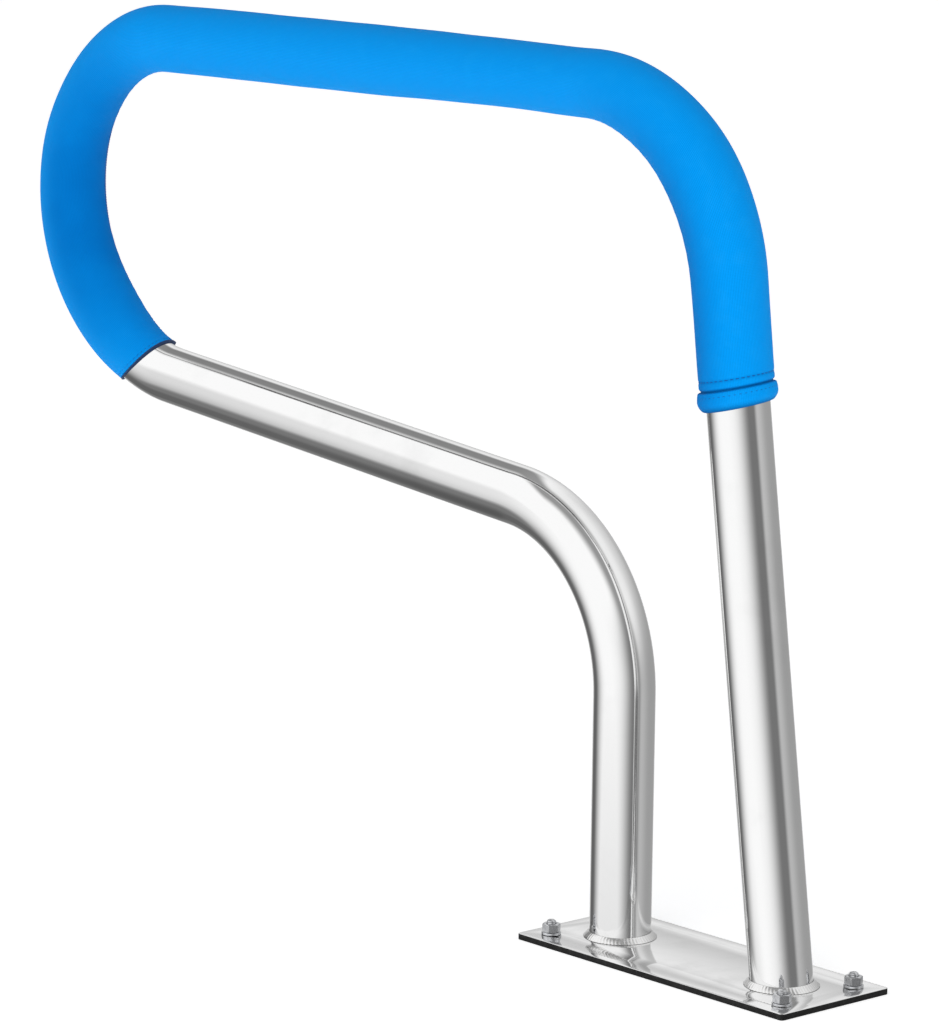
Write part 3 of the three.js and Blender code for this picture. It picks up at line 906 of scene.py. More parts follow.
# How much the cover stands out past its plain radius on its outer and inner sides, in
# millimetres, by distance along the rail in metres.
COVER_FITS = (
    (0.692, -2.2, -1.6),
    (0.71, -1.6, 0.0),
    (0.735, -1.2, 2.4),
    (0.76, -0.4, 3.0),
    (0.79, 0.4, 1.6),
    (0.83, 0.2, 0.6),
    (0.88, -1.9, 0.8),
    (0.92, -4.0, 1.2),
    (0.96, -3.2, 1.0),
    (1.0, -1.2, 0.8),
    (1.06, -0.5, 0.2),
    (1.24, -0.6, -0.3),
    (1.29, -0.9, -1.6),
    (1.38, -1.8, -1.8),
    (1.42, -2.6, -0.9),
    (1.47, -0.7, -0.3),
    (1.54, 1.5, 0.4),
    (1.63, 0.3, -0.3),
    (1.66, 0.0, 0.0),
)


def open_angles(middle, round_radius):
    """Angles anticlockwise round a sleeve that is open at the zip's slot."""
    gap = math.asin((SLOT_HALF_WIDTH + round_radius) / middle)
    return np.linspace(SLOT_ANGLE + gap, SLOT_ANGLE + TAU - gap, OUTER_STEPS)


PLAIN_ANGLES = open_angles((COVER_OUTER + COVER_INNER) / 2, EDGE_ROUND)


def polar(angles, radii):
    return np.stack((radii * np.cos(angles), radii * np.sin(angles)), axis=-1)


def sleeve_outlines(outer, inner):
    """Outlines of a sleeve open at the slot, from its outer radii per row and step, and inner radii."""
    inner = np.broadcast_to(np.reshape(inner, (-1, 1)), (len(outer), 1))
    middle = (outer[:, :1] + inner) / 2
    edge = (outer[:, :1] - inner) / 2
    angles = open_angles(middle.mean(), edge.mean())
    turns = np.linspace(0, math.pi, EDGE_STEPS + 2)[1:-1]
    back = np.linspace(angles[-1], angles[0], INNER_STEPS)
    return np.concatenate((
        polar(angles, outer),
        edge_points(angles[-1], middle, edge, turns, 1),
        polar(back, np.repeat(inner, INNER_STEPS, axis=1)),
        edge_points(angles[0], middle, edge, turns[::-1], -1),
    ), axis=1)


def edge_points(angle, middle, edge, turns, sign):
    """A rounded edge of the slot, from the outer face to the inner one."""
    radial = np.array((math.cos(angle), math.sin(angle)))
    onward = np.array((-math.sin(angle), math.cos(angle))) * sign
    out = (middle + edge * np.cos(turns)[None, :])[:, :, None]
    ahead = (edge * np.sin(turns)[None, :])[:, :, None]
    return out * radial + ahead * onward


def groove(values, centre, width):
    return np.exp(-((values - centre) / width) ** 2)


def rolled_end(distances, start, end, radius):
    """How far a sleeve's outer face draws in at its rounded ends."""
    near = np.minimum(distances - start, end - distances)
    short = np.clip(radius - near, 0, radius)
    return radius - np.sqrt(radius ** 2 - short ** 2)


def wave_sum(rng, across, lengthwise, count, longest):
    """A smooth random surface about 1 high, from waves that close round the sleeve."""
    total = np.zeros(np.broadcast(across, lengthwise).shape)
    for _ in range(count):
        turns = rng.integers(0, 4)
        wave = longest * rng.uniform(0.35, 1.0)
        phase = rng.uniform(0, TAU)
        total += np.sin(turns * across + TAU * lengthwise / wave + phase) / math.sqrt(count)
    return total


def gathered(distances):
    """How far the rear end is drawn in towards the tube by its elastic cuff."""
    share = np.clip((distances - COVER_END + GATHER_LENGTH) / GATHER_LENGTH, 0, 1)
    return GATHER_DEPTH * share ** 2


def outline_angles(outlines):
    return np.arctan2(outlines[:, :, 1], outlines[:, :, 0])


def sleeve_attributes(piece, distances, outlines, seam_shade=0.0):
    """Writes each point's place on the sleeve, a painted shade mask that grows as it faces into the loop on
    upright runs, and the painted shade of sewn grooves.
    """
    rows, count, _ = outlines.shape
    angles = outline_angles(outlines)
    radii = np.hypot(outlines[:, :, 0], outlines[:, :, 1])
    around = np.mod(angles - SLOT_ANGLE, TAU) * COVER_OUTER
    lengthwise = np.broadcast_to(np.reshape(distances, (rows, -1)), (rows, count))
    sleeve = np.stack((around, lengthwise, radii), axis=-1).reshape(-1, 3)
    set_attribute(piece, "sleeve", sleeve)
    _, tangents, _ = rail_frames(lengthwise.ravel())
    upright = np.abs(tangents[:, 2]).reshape(rows, count)
    # Painted shade: the mask is strongest where upright runs face into the loop, and weaker along the rear
    # leg.
    painted_shade_strength = np.interp(lengthwise, (1.0, 1.15), (1.0, 0.8))
    inside = painted_shade_strength * upright * eased((np.sin(angles) + 0.8) / 1.3)
    set_attribute(piece, "inside", inside.ravel())
    # Painted shade in sewn grooves and at the cuff's rear edge, on the outer face only.
    depth = np.zeros((rows, count))
    depth[:, :OUTER_STEPS] = seam_shade
    set_attribute(piece, "painted_seam_shade", depth.ravel())


def pulled(angles, evenly, inner_side, camera_side):
    return MM * (evenly + inner_side * np.sin(angles) + camera_side * np.cos(angles))


def settled(angles, distances):
    """Where points of the cover lie along the rail once its ends are pulled on the slant."""
    near_nose = eased((COVER_START + NOSE_EASE - distances) / NOSE_EASE)
    near_cuff = eased((distances - COVER_END + CUFF_EASE) / CUFF_EASE)
    return distances + near_nose * pulled(angles, *NOSE_PULL) + near_cuff * pulled(angles, *CUFF_PULL)


def fit_amount(angles, distances):
    """How much fuller than its plain radius the cover sits, evened out along the rail."""
    places, *fits = np.array(COVER_FITS).T
    blurs = spaced(-15 * MM, 15 * MM, 5 * MM)
    outer, inner = [np.mean([np.interp(distances + blur, places, fit) for blur in blurs], axis=0)
                    for fit in fits]
    facing_in = (1 + np.sin(angles)) / 2
    return MM * (outer + (inner - outer) * facing_in)


def seam_depths(angles, distances):
    """How deep each sewn groove of the cover is, as a share of the deepest, the one above the cuff."""
    across = angles[None, :]
    lengthwise = distances[:, None]
    edge_angle = math.asin((SLOT_HALF_WIDTH + STITCH_IN) / COVER_OUTER)
    from_slot = np.abs(np.mod(across - SLOT_ANGLE + math.pi, TAU) - math.pi)
    depths = 0.22 * groove(from_slot * COVER_OUTER, edge_angle * COVER_OUTER, 0.9 * MM)
    depths = depths + groove(lengthwise, CUFF_TOP - 0.7 * MM, 0.9 * MM)
    depths += 0.3 * groove(lengthwise, CUFF_TOP - CUFF_STITCH_SPACING - 1 * MM, 0.9 * MM)
    depths += 0.15 * groove(lengthwise, BINDING_END + STITCH_IN, 0.8 * MM)
    return np.minimum(depths, 1)


def cover_relief(rng, angles, distances):
    """Height of the cover's face: its fit, soft unevenness, and faint creases inside bends."""
    across = angles[None, :]
    lengthwise = distances[:, None]
    bent = bend_amount(distances)[:, None]
    facing_in = np.clip(np.sin(across), 0, 1)
    uneven = UNEVEN_HEIGHT * wave_sum(rng, across, lengthwise, 14, 0.16)
    ripple = np.sin(TAU * lengthwise / CREASE_PITCH + 2.2 * wave_sum(rng, across, lengthwise, 6, 0.12))
    creases = CREASE_HEIGHT * bent * facing_in ** 1.5 * ripple
    return fit_amount(across, lengthwise) + uneven + creases


def make_cover():
    rng = np.random.default_rng(SEED)
    start = BINDING_END
    dense = [*spaced(start, start + 6 * MM, 0.4 * MM), *spaced(COVER_END - 22 * MM, COVER_END, 0.4 * MM)]
    distances = stations_between(start, COVER_END, 2.5 * MM, 3.5 * MM, dense)
    depths = seam_depths(PLAIN_ANGLES, distances)
    outer = COVER_OUTER + cover_relief(rng, PLAIN_ANGLES, distances) - SEAM_DEPTH * depths
    outer -= (rolled_end(distances, start, COVER_END, 0.8 * MM) + gathered(distances))[:, None]
    outlines = sleeve_outlines(outer, COVER_INNER)
    placed = settled(outline_angles(outlines), distances[:, None])
    piece = swept_piece("neoprene_grip_cover", placed, outlines, "blue_neoprene")
    # The groove depths also darken the colour, as painted shade.
    sleeve_attributes(piece, placed, outlines, depths)
    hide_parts("grip_cover")
    paint(piece, JERSEY)


def make_band(name, node, start, end, inner, proud, crown, slot, material):
    """A band round the sleeve with rolled ends, crowned by proud above its own outer radius."""
    distances = spaced(start, end, 0.35 * MM)
    share = (distances - start) / (end - start) * 2 - 1
    inner = inner - gathered(distances)
    outer = inner + proud + crown * (1 - share ** 2)
    outer -= rolled_end(distances, start, end, min(0.7 * MM, (end - start) / 2))
    outer = outer[:, None] + fit_amount(PLAIN_ANGLES, distances[:, None])
    outlines = sleeve_outlines(outer, inner)
    placed = settled(outline_angles(outlines), distances[:, None])
    piece = swept_piece(name, placed, outlines, slot)
    # Painted shade darkens the band towards the cover's rear end.
    sleeve_attributes(piece, placed, outlines, 0.85 * groove(distances[:, None], COVER_END, 2.2 * MM))
    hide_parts(node)
    paint(piece, material)
    return piece


def make_cuff():
    inner = COVER_OUTER + 0.05 * MM
    proud = 0.75 * MM
    cuff = make_band("rear_cuff_band", "rear_cuff", CUFF_TOP, COVER_END, inner, proud, CUFF_PROUD - proud,
                     "blue_neoprene", JERSEY)


def make_binding():
    make_band("nose_binding", "front_binding", COVER_START, BINDING_END, COVER_INNER, COVER_WALL, 0.2 * MM,
              "navy_trim", NAVY_TAPE)


make_cover()
make_cuff()
make_binding()

# --- Stitches -----------------------------------------------------------------

THREAD_RADIUS = 0.24 * MM
THREAD_DIP = 0.22 * MM
STITCH_PITCH = 3.2 * MM
STITCH_LENGTH = 2.5 * MM
STITCH_MARGIN = 1.5 * MM


def sewn(distances, angles, radius):
    """Places on the settled cover, with the directions along it, round it and out of it."""
    points, tangents, inner = rail_frames(settled(angles, distances))
    out = np.cos(angles)[:, None] * CAMERA_SIDE + np.sin(angles)[:, None] * inner
    around = np.cos(angles)[:, None] * inner - np.sin(angles)[:, None] * CAMERA_SIDE
    radii = radius + fit_amount(angles, distances)
    return points + radii[:, None] * out, tangents, around, out


def stitch_rows(name, rows):
    """One piece of many short threads, each row a set of centres, directions and outward normals."""
    steps, sides = 7, 6
    share = np.linspace(-1, 1, steps)
    length = share * STITCH_LENGTH / 2
    thick = THREAD_RADIUS * np.sqrt(np.clip(1 - np.abs(share) ** 4, 0.05, 1))
    dip = -THREAD_DIP * share ** 2
    turn = np.arange(sides) * TAU / sides
    vertices, faces, start = [], [], 0
    for centres, directions, normals in rows:
        sideways = np.cross(normals, directions)
        for centre, ahead, up, side in zip(centres, directions, normals, sideways):
            ring = np.cos(turn)[:, None] * side + np.sin(turn)[:, None] * up
            spine = centre + length[:, None] * ahead + dip[:, None] * up
            vertices.append((spine[:, None] + thick[:, None, None] * ring[None]).reshape(-1, 3))
            faces.extend(solid_faces(steps, sides, start))
            start += steps * sides
    piece = new_piece(name, np.concatenate(vertices), faces, "navy_trim", sharp_degrees=80)
    paint(piece, THREAD)


def lengthwise_row(angle, start, end, radius):
    distances = spaced(start, end, STITCH_PITCH)
    places, tangents, _, out = sewn(distances, np.full(len(distances), angle), radius)
    return places, tangents, out


def round_row(distance, radius):
    edge = math.asin((SLOT_HALF_WIDTH + EDGE_ROUND + STITCH_MARGIN) / radius)
    count = int((TAU - 2 * edge) * radius / STITCH_PITCH)
    angles = np.linspace(SLOT_ANGLE + edge, SLOT_ANGLE + TAU - edge, count)
    places, _, around, out = sewn(np.full(count, distance), angles, radius)
    return places, around, out


def make_stitches():
    edge = math.asin((SLOT_HALF_WIDTH + STITCH_IN) / COVER_OUTER)
    start = BINDING_END + 2 * MM
    end = CUFF_TOP - 2 * MM
    sunk = COVER_OUTER - 0.3 * MM
    for side, sign in (("left", 1), ("right", -1)):
        row = lengthwise_row(SLOT_ANGLE + sign * edge, start, end, sunk)
        stitch_rows(f"zip_stitches_{side}", [row])
    above_cuff = round_row(CUFF_TOP - CUFF_STITCH_SPACING - 1 * MM, sunk)
    on_cuff = round_row(CUFF_TOP + 2.6 * MM, sunk + CUFF_PROUD)
    stitch_rows("cuff_stitches", [above_cuff, on_cuff])
    nose = BINDING_END + STITCH_IN
    stitch_rows("nose_stitches", [round_row(nose, COVER_OUTER - 0.22 * MM)])


make_stitches()

# --- Zip ----------------------------------------------------------------------

ZIP_START = COVER_START + ZIP_MARGIN
ZIP_END = COVER_END - ZIP_MARGIN
ZIP_BOX_LENGTH = 6 * MM
ZIP_STOP_LENGTH = 2 * MM
TEETH_TOP = TEETH_OUT + TEETH_THICKNESS
TOOTH_PITCH = 2.1 * MM
TOOTH_FOOT = 3.1 * MM
TAPE_INNER_EDGE = 0.8 * MM
TAPE_OUTER_EDGE = 6.4 * MM
SLIDER_LENGTH = 13 * MM
SLIDER_PLACE = CUFF_TOP - 2 * MM - SLIDER_LENGTH / 2
SLIDER_TRAVEL = 40 * MM
MESHED_TIP = -0.42 * MM
SPREAD_TIP = 0.62 * MM


def zip_points(distances, sides, outs):
    """World points at distances along the rail, sides across the zip and outs from the axis."""
    points, _, inner = rail_frames(distances.ravel())
    offsets = zip_offsets(sides, outs).reshape(-1, 2)
    return points + offsets[:, :1] * CAMERA_SIDE + offsets[:, 1:] * inner


def rounded_strip(name, start, end, low_side, high_side, low_out, high_out, radius, slot, step=4 * MM):
    """A strip along the zip with rounded edges and ends."""
    ends = [start + radius * s for s in (0.3, 1)] + [end - radius * s for s in (0.3, 1)]
    distances = stations_between(start, end, step, step, ends)
    draw_in = 0.999 * rolled_end(distances, start, end, radius)
    outlines = []
    for shrink in draw_in:
        width = high_side - low_side - 2 * shrink
        height = high_out - low_out - 2 * shrink
        corner = max(radius - shrink, 0.02 * MM)
        points = rounded_rectangle(width, height, corner)
        sides = points[:, 0] + (low_side + high_side) / 2
        outs = points[:, 1] + (low_out + high_out) / 2
        outlines.append(zip_offsets(sides, outs))
    outlines = np.array(outlines)
    piece = swept_piece(name, distances, outlines, slot, sharp_degrees=50)
    sleeve_attributes(piece, distances, outlines)
    return piece


def make_tape(label, sign):
    """One side's tape: flat weave with a corded bead along its inner edge."""
    edges = sorted((sign * TAPE_INNER_EDGE, sign * TAPE_OUTER_EDGE))
    tape = rounded_strip(f"woven_tape_{label}", ZIP_START, ZIP_END, *edges, TAPE_OUT,
                         TAPE_OUT + TAPE_THICKNESS, 0.2 * MM, "zip_tape")
    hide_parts(f"zip_tape_{label}")
    paint(tape, ZIP_TAPE)


def tooth_outline(sign, tip):
    """A tooth seen from above, anticlockwise: a foot on the tape, a neck and a rounded head."""
    foot, neck, head = TOOTH_FOOT, tip + 0.75 * MM, tip
    half = np.array([
        (foot, 0.62), (foot - 0.25 * MM, 0.78), (neck + 0.5 * MM, 0.7), (neck, 0.38),
        (head + 0.35 * MM, 0.56), (head + 0.08 * MM, 0.4), (head, 0.12),
    ])
    half[:, 1] *= MM
    mirrored = half[::-1] * (1, -1)
    outline = np.concatenate((half, mirrored))
    outline[:, 0] *= sign
    return outline if sign > 0 else outline[::-1]


def slider_clear(distances):
    """0 where the slider's post passes, 1 where the chain is meshed."""
    low = SLIDER_PLACE - SLIDER_TRAVEL - SLIDER_LENGTH / 2
    return np.clip((low - distances) / (6 * MM), 0, 1)


def make_teeth(label, sign):
    """Moulded teeth, meshed with the other side's except where the slider's post runs."""
    start = ZIP_START + ZIP_BOX_LENGTH + 1.2 * MM
    end = ZIP_END - ZIP_STOP_LENGTH - 1.2 * MM
    shift = 0 if sign > 0 else TOOTH_PITCH / 2
    centres = np.arange(start + shift, end, TOOTH_PITCH)
    levels = ((TEETH_OUT, 0.86), (TEETH_OUT + 0.18 * MM, 1.0), (TEETH_TOP - 0.25 * MM, 1.0),
              (TEETH_TOP, 0.82))
    meshed = slider_clear(centres)
    vertices, faces, start_index = [], [], 0
    for centre, share in zip(centres, meshed):
        outline = tooth_outline(sign, SPREAD_TIP + (MESHED_TIP - SPREAD_TIP) * share)
        middle = outline.mean(axis=0)
        rings = [middle + (outline - middle) * scale for _, scale in levels]
        sides = np.array(rings)[:, :, 0]
        lengthwise = centre + np.array(rings)[:, :, 1]
        outs = np.repeat([[out] for out, _ in levels], outline.shape[0], axis=1)
        vertices.append(zip_points(lengthwise, sides, outs))
        count = outline.shape[0]
        rows = len(levels)
        faces.extend(face[::-1] for face in solid_faces(rows, count, start_index))
        start_index += rows * count
    piece = new_piece(f"moulded_teeth_{label}", np.concatenate(vertices), faces, "zip_teeth")
    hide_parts(f"zip_teeth_{label}")
    paint(piece, TEETH_PLASTIC)


def make_zip_ends():
    """The joining box at the nose, and a stop at each side's end."""
    top = TEETH_OUT + 1.6 * MM
    reach = TOOTH_FOOT
    box = rounded_strip("joining_box", ZIP_START, ZIP_START + ZIP_BOX_LENGTH, -reach, reach,
                        TEETH_OUT, top, 0.5 * MM, "zip_metal", 1 * MM)
    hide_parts("zip_box")
    paint(box, ZIP_METAL)
    for label, sign in (("left", 1), ("right", -1)):
        edges = sorted((sign * TAPE_INNER_EDGE, sign * reach))
        stop = rounded_strip(f"end_stop_{label}", ZIP_END - ZIP_STOP_LENGTH, ZIP_END, *edges,
                             TEETH_OUT, top, 0.45 * MM, "zip_metal", 1 * MM)
        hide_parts(f"zip_stop_{label}")
        paint(stop, ZIP_METAL)


for zip_label, zip_sign in (("left", 1), ("right", -1)):
    make_tape(zip_label, zip_sign)
    make_teeth(zip_label, zip_sign)
make_zip_ends()

# --- Slider and pull ------------------------------------------------------------

SLIDER_WIDTH = 9.2 * MM
WING = 0.8 * MM
WING_OUT = 22.9 * MM
WING_TOP = WING_OUT + WING
LOWER_OUT = 19.45 * MM
FLANGE_LOW = 21.5 * MM
FLANGE_WIDTH = 1.2 * MM
BAR_SIZE = 1.2 * MM
BAR_REACH = BAR_SIZE * math.sqrt(0.5)
BAR_OUT = WING_TOP + 0.3 * MM + BAR_REACH
CROWN_HALF_SPAN = BAR_REACH + 0.4 * MM
CROWN_WALL = 1.1 * MM
CROWN_TOP = BAR_OUT + BAR_REACH + 0.3 * MM + CROWN_WALL
CROWN_WIDTH = 2 * MM
PULL_LENGTH = 24 * MM
PULL_WIDTH = 7 * MM
PULL_TAPER = 0.18
CORD_HOLE_RADIUS = 1.4 * MM


def zip_frame():
    """The slider's place: x across the zip, y up the leg and z out of the rail."""
    points, tangents, inner = rail_frames([SLIDER_PLACE])
    up = -tangents[0]
    out = inner[0] * math.cos(ZIP_TURN) + np.array((0, math.sin(ZIP_TURN), 0))
    across = np.cross(up, out)
    turned = Matrix((across, up, out)).transposed()
    return Matrix.Translation(points[0]) @ turned.to_4x4()


def lofted(rings):
    """A closed solid through rings of points, as a bmesh."""
    rings = np.asarray(rings)
    rows, count, _ = rings.shape
    solid = bmesh.new()
    corners = [solid.verts.new(point) for point in rings.reshape(-1, 3)]
    for face in solid_faces(rows, count):
        solid.faces.new([corners[index] for index in face])
    bmesh.ops.recalc_face_normals(solid, faces=solid.faces)
    return solid


def bevelled_slab(width, length, radius, low, high, edge):
    """A slab with rounded corners and edges."""
    rings = []
    for height, inset in ((low, edge), (low + 0.3 * edge, 0.3 * edge), (low + edge, 0),
                          (high - edge, 0), (high - 0.3 * edge, 0.3 * edge), (high, edge)):
        points = rounded_rectangle(width - 2 * inset, length - 2 * inset, radius - inset)
        rings.append(np.column_stack((points, np.full(len(points), height))))
    return lofted(rings)


def crown_loop():
    """The bridge that the pull's bar hangs in: a rounded strap bent over it."""
    middle = CROWN_HALF_SPAN + CROWN_WALL / 2
    top = CROWN_TOP - CROWN_WALL / 2
    bend = 0.75 * MM
    path = [(-middle, WING_TOP - 0.4 * MM), (-middle, top - bend)]
    for step in range(1, 6):
        angle = step * math.pi / 10
        path.append((-middle + bend * (1 - math.cos(angle)), top - bend * (1 - math.sin(angle))))
    path += [(-y, z) for y, z in reversed(path)]
    path = np.array(path)
    ahead = np.gradient(path, axis=0)
    ahead /= np.linalg.norm(ahead, axis=1)[:, None]
    section = rounded_rectangle(CROWN_WIDTH, CROWN_WALL, 0.4 * MM)
    rings = []
    for (y, z), (along_y, along_z) in zip(path, ahead):
        x = section[:, 0]
        rings.append(np.column_stack((x, y - section[:, 1] * along_z, z + section[:, 1] * along_y)))
    return lofted(rings)


def united(name, solids):
    """The exact union of closed solids, as one mesh."""
    holders = []
    for index, solid in enumerate(solids):
        mesh = bpy.data.meshes.new(f"{name}_{index}")
        solid.to_mesh(mesh)
        solid.free()
        holders.append(add_object(f"{name}_{index}", mesh))
    for holder in holders[1:]:
        joining = holders[0].modifiers.new("joining", "BOOLEAN")
        joining.operation = "UNION"
        joining.solver = "EXACT"
        joining.object = holder
    bpy.context.view_layer.update()
    depsgraph = bpy.context.evaluated_depsgraph_get()
    mesh = bpy.data.meshes.new_from_object(holders[0].evaluated_get(depsgraph))
    for holder in holders:
        part = holder.data
        bpy.data.objects.remove(holder)
        bpy.data.meshes.remove(part)
    mesh.name = name
    return mesh


def make_slider():
    """Two wings joined by a post, flanges that steer the teeth, and a crown for the pull."""
    flange_x = (SLIDER_WIDTH - FLANGE_WIDTH) / 2
    upper = bevelled_slab(SLIDER_WIDTH, SLIDER_LENGTH, 2.2 * MM, WING_OUT, WING_TOP, 0.25 * MM)
    lower = bevelled_slab(SLIDER_WIDTH - 1 * MM, SLIDER_LENGTH - 1 * MM, 2 * MM, LOWER_OUT,
                          LOWER_OUT + WING, 0.2 * MM)
    post = bevelled_slab(1 * MM, 3 * MM, 0.45 * MM, LOWER_OUT + 0.4 * MM, WING_OUT + 0.4 * MM, 0.1 * MM)
    post.transform(Matrix.Translation((0, -4 * MM, 0)))
    solids = [upper, lower, post]
    for x in (-flange_x, flange_x):
        flange = bevelled_slab(FLANGE_WIDTH, SLIDER_LENGTH - 4.4 * MM, 0.5 * MM, FLANGE_LOW,
                               WING_OUT + 0.4 * MM, 0.15 * MM)
        flange.transform(Matrix.Translation((x, 0, 0)))
        solids.append(flange)
    solids.append(crown_loop())
    mesh = united("slider", solids)
    mesh.transform(zip_frame())
    piece = mesh_piece("slider_body", mesh, body="slider")
    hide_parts("zip_slider")
    paint(piece, ZIP_METAL)


def make_pull():
    """A flat tab with a window round the crown and a cord hole, hanging plumb from its bar."""
    place = zip_frame()
    down = place.to_3x3().inverted() @ Vector((0, 0, -1))
    hang = math.atan2(down.z, -down.y)
    window_end = math.hypot(CROWN_HALF_SPAN + CROWN_WALL, CROWN_TOP - BAR_OUT) + 0.5 * MM
    window_length = window_end - BAR_SIZE / 2
    outline = rounded_rectangle(PULL_WIDTH, PULL_LENGTH, 3 * MM)
    share = np.clip(outline[:, 1] / PULL_LENGTH + 0.5, 0, 1)
    outline[:, 0] *= 1 - PULL_TAPER * share
    outline[:, 1] += BAR_SIZE / 2 - PULL_LENGTH / 2
    square = outline[:, 1] > -3 * MM
    outline[square, 0] = np.sign(outline[square, 0]) * np.abs(outline[:, 0]).max() * 0.8
    window = rounded_rectangle(CROWN_WIDTH + 1.2 * MM, window_length, 0.4 * MM)
    window[:, 1] -= BAR_SIZE / 2 + window_length / 2
    hole = circle_points(CORD_HOLE_RADIUS, 24) + (0, 3.6 * MM - PULL_LENGTH)
    mesh = flat_mesh("pull", [outline, window, hole], BAR_SIZE, 0.28 * MM)
    swing = Matrix.Rotation(-hang, 4, "X")
    mesh.transform(place @ Matrix.Translation((0, 0, BAR_OUT)) @ swing)
    piece = mesh_piece("pull_tab", mesh, body="pull")
    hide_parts("zip_pull")
    paint(piece, ZIP_METAL)


make_slider()
make_pull()

# --- Anchors ------------------------------------------------------------------

STUD_RADIUS = 2.95 * MM
STUD_SIDES = 48
SLEEVE_RADIUS = 4 * MM
SLEEVE_INNER = 3.2 * MM
SLEEVE_END = PLATE_TOP - 34 * MM
SLOT_LENGTH = 14 * MM
SLOT_WIDTH = 0.8 * MM
LEAF_STEPS = 9
CONE_LENGTH = 5 * MM
WASHER_RADIUS = 6 * MM
WASHER_SIDES = 64
WASHER_LOW = PLATE_TOP + 0.1 * MM
WASHER_HIGH = PLATE_TOP + 1.5 * MM
NUT_LOW = WASHER_HIGH + 0.05 * MM
NUT_HIGH = PLATE_TOP + 6.8 * MM
NUT_HALF_FLATS = 5 * MM
NUT_SIDES = 96
STUD_TOP = PLATE_TOP + 9 * MM
THREAD_PITCH = 1.0 * MM
THREAD_DEPTH = 0.3 * MM


def ridge(phase):
    """A thread's profile: 0 in the root and 1 on the crest."""
    return 2 * np.abs(np.mod(phase, 1) - 0.5)


def make_stud(number, centre):
    """A threaded stud whose lower end flares into the cone that spreads the sleeve."""
    turn = (np.arange(STUD_SIDES) / STUD_SIDES)[:, None]
    heights = np.arange(STUD_TOP - 0.5 * MM, SLEEVE_END + 6 * MM, -THREAD_PITCH / 6)[None, :]
    cut = THREAD_DEPTH * (1 - ridge(heights / THREAD_PITCH - turn))
    fade = np.clip((STUD_TOP - heights) / (1.2 * MM), 0, 1)
    threaded = STUD_RADIUS - cut - 0.35 * MM * (1 - fade)
    top = np.tile([(STUD_RADIUS - 1.0 * MM, STUD_TOP)], (STUD_SIDES, 1, 1))
    shank = np.stack((threaded, np.broadcast_to(heights, threaded.shape)), axis=-1)
    cone_top = SLEEVE_END - 0.3 * MM
    cone_end = cone_top - CONE_LENGTH
    foot = np.array([
        (STUD_RADIUS - THREAD_DEPTH, SLEEVE_END + 5 * MM), (STUD_RADIUS - 0.1 * MM, cone_top),
        (SLEEVE_RADIUS, cone_end + 1.2 * MM), (SLEEVE_RADIUS, cone_end + 0.25 * MM),
        (SLEEVE_RADIUS - 0.25 * MM, cone_end),
    ])
    profiles = np.concatenate((top, shank, np.tile(foot, (STUD_SIDES, 1, 1))), axis=1)
    piece = turned_piece(f"threaded_stud_{number}", centre, profiles, "anchor_steel", closed=False,
                         sharp_degrees=40)
    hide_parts(f"anchor_stud_{number}")
    paint(piece, ZINC)


def sleeve_faces(columns, rows):
    """Faces between an outer and an inner grid of vertices, left open at the gaps between leaves."""

    def corner(wall, column, row):
        return (wall * columns + column % columns) * rows + row

    def filled(column, row):
        in_gap = (column + 1) % LEAF_STEPS == 0 and row < 2
        return 0 <= row < rows - 1 and not in_gap

    faces = []
    for i, row in np.ndindex(columns, rows - 1):
        if not filled(i, row):
            continue
        ring = [(i, row), (i + 1, row), (i + 1, row + 1), (i, row + 1)]
        faces.append([corner(0, *place) for place in ring])
        faces.append([corner(1, *place) for place in reversed(ring)])
        beyond = [(i, row - 1), (i + 1, row), (i, row + 1), (i - 1, row)]
        for side, neighbour in enumerate(beyond):
            if not filled(*neighbour):
                a, b = ring[side], ring[(side + 1) % 4]
                faces.append([corner(0, *b), corner(0, *a), corner(1, *a), corner(1, *b)])
    return faces


def make_sleeve(number, centre):
    """A split sleeve: a thin tube whose lower end is slotted into four leaves."""
    half_slot = SLOT_WIDTH / 2 / SLEEVE_RADIUS
    leaf = np.linspace(half_slot, math.pi / 2 - half_slot, LEAF_STEPS)
    angles = np.concatenate([leaf + quarter * math.pi / 2 for quarter in range(4)])
    heights = np.array([SLEEVE_END, SLEEVE_END + 0.3 * MM, SLEEVE_END + SLOT_LENGTH,
                        PLATE_TOP - 0.3 * MM, PLATE_TOP])
    shrink = np.array([0.25, 0, 0, 0, 0.25]) * MM
    radii = np.stack((SLEEVE_RADIUS - shrink, SLEEVE_INNER + 0.4 * shrink))[:, None, :]
    x = centre[0] + radii * np.cos(angles)[None, :, None]
    y = centre[1] + radii * np.sin(angles)[None, :, None]
    vertices = np.stack((x, y, centre[2] + np.broadcast_to(heights, x.shape)), axis=-1).reshape(-1, 3)
    faces = sleeve_faces(len(angles), len(heights))
    piece = new_piece(f"split_sleeve_{number}", vertices, faces, "anchor_steel", sharp_degrees=40)
    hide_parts(f"anchor_sleeve_{number}")
    paint(piece, ZINC)


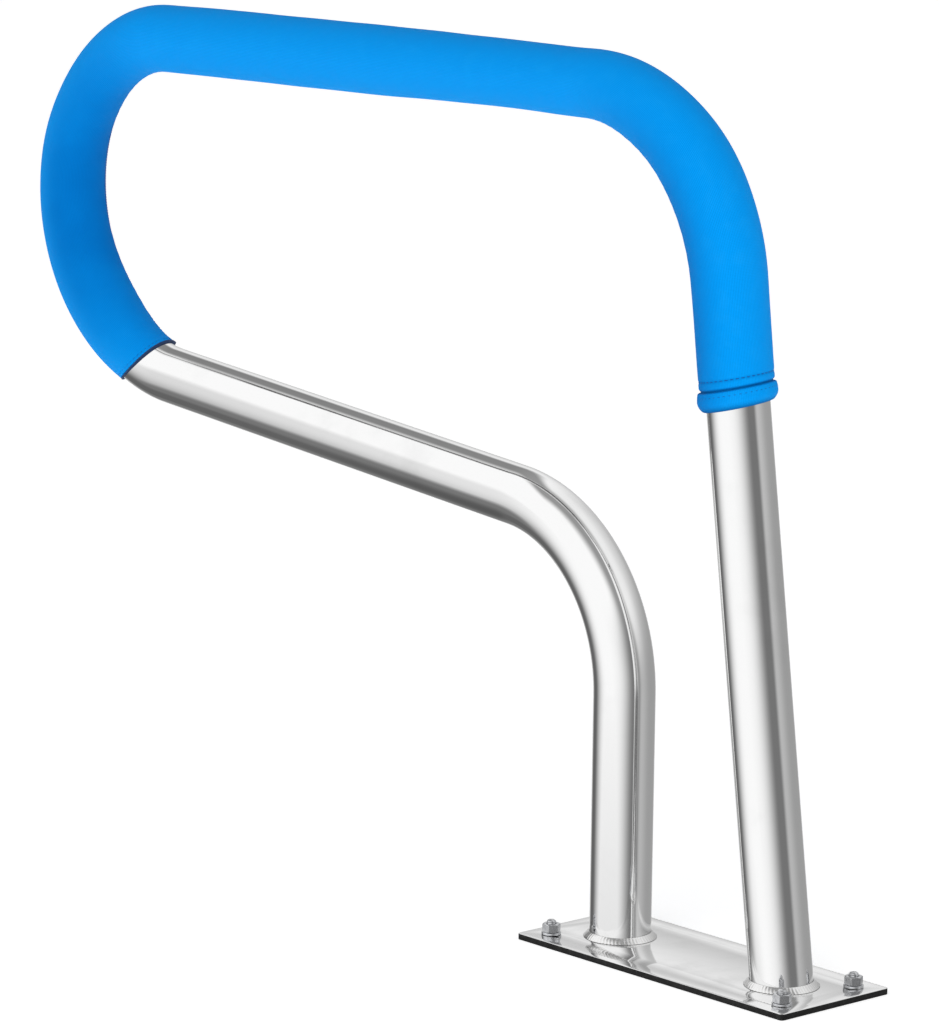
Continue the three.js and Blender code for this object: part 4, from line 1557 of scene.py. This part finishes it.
def make_washer(number, centre):
    """A stamped washer, rolled over a little at its outer edge."""
    inner, outer = STUD_RADIUS + 0.35 * MM, WASHER_RADIUS
    edge = 0.25 * MM
    profile = np.array([
        (inner, WASHER_HIGH - edge), (inner + edge, WASHER_HIGH), (outer - 2 * edge, WASHER_HIGH),
        (outer - 0.6 * edge, WASHER_HIGH - 0.4 * edge), (outer, WASHER_HIGH - 1.6 * edge),
        (outer, WASHER_LOW + 0.1 * MM), (outer - 0.1 * MM, WASHER_LOW), (inner, WASHER_LOW),
    ])
    profiles = np.tile(profile, (WASHER_SIDES, 1, 1))
    piece = turned_piece(f"flat_washer_{number}", centre, profiles, "anchor_steel", sharp_degrees=50)
    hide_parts(f"anchor_washer_{number}")
    paint(piece, ZINC)


def make_nut(number, centre):
    """A hexagon nut, its corners turned down to a cone at both faces, with a threaded bore."""
    turn = np.arange(NUT_SIDES) / NUT_SIDES
    hexagon = NUT_HALF_FLATS / np.cos(np.mod(turn * TAU, math.pi / 3) - math.pi / 6)
    from_face = np.array([0, 0.15, 0.3, 0.45, 0.7]) * MM
    heights = np.concatenate((NUT_HIGH - from_face, (NUT_LOW + from_face)[::-1]))
    depth = np.concatenate((from_face, from_face[::-1]))
    cone = 0.96 * NUT_HALF_FLATS + depth * math.sqrt(3)
    radii = np.minimum(hexagon[:, None], cone[None, :])
    outside = np.stack((radii, np.broadcast_to(heights, radii.shape)), axis=-1)
    bore_heights = np.arange(NUT_LOW, NUT_HIGH - 0.4 * MM, THREAD_PITCH / 5)
    crests = ridge(bore_heights[None, :] / THREAD_PITCH - turn[:, None])
    bore = STUD_RADIUS + 0.42 * MM - 0.24 * MM * crests
    bore[:, 0] = STUD_RADIUS + 0.45 * MM
    inside = np.stack((bore, np.broadcast_to(bore_heights, bore.shape)), axis=-1)
    lip = np.tile([(STUD_RADIUS + 0.6 * MM, NUT_HIGH)], (NUT_SIDES, 1, 1))
    profiles = np.concatenate((outside, inside, lip), axis=1)
    piece = turned_piece(f"hex_nut_{number}", centre, profiles, "anchor_steel", sharp_degrees=28)
    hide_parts(f"anchor_nut_{number}")
    paint(piece, ZINC)


for anchor_number, anchor_place in enumerate(HOLE_PLACES, start=1):
    for make_fixing in (make_stud, make_sleeve, make_washer, make_nut):
        make_fixing(anchor_number, (*anchor_place, 0))

# --- Reflections ---------------------------------------------------------------

# The steel reflects the studio's plain cards, and not the cover or its zip's tapes and teeth.
SOFT_MATERIALS = (JERSEY, NAVY_TAPE, ZIP_TAPE, THREAD, TEETH_PLASTIC)
for scene_object in bpy.context.scene.objects:
    if scene_object.active_material in SOFT_MATERIALS:
        scene_object.visible_glossy = False
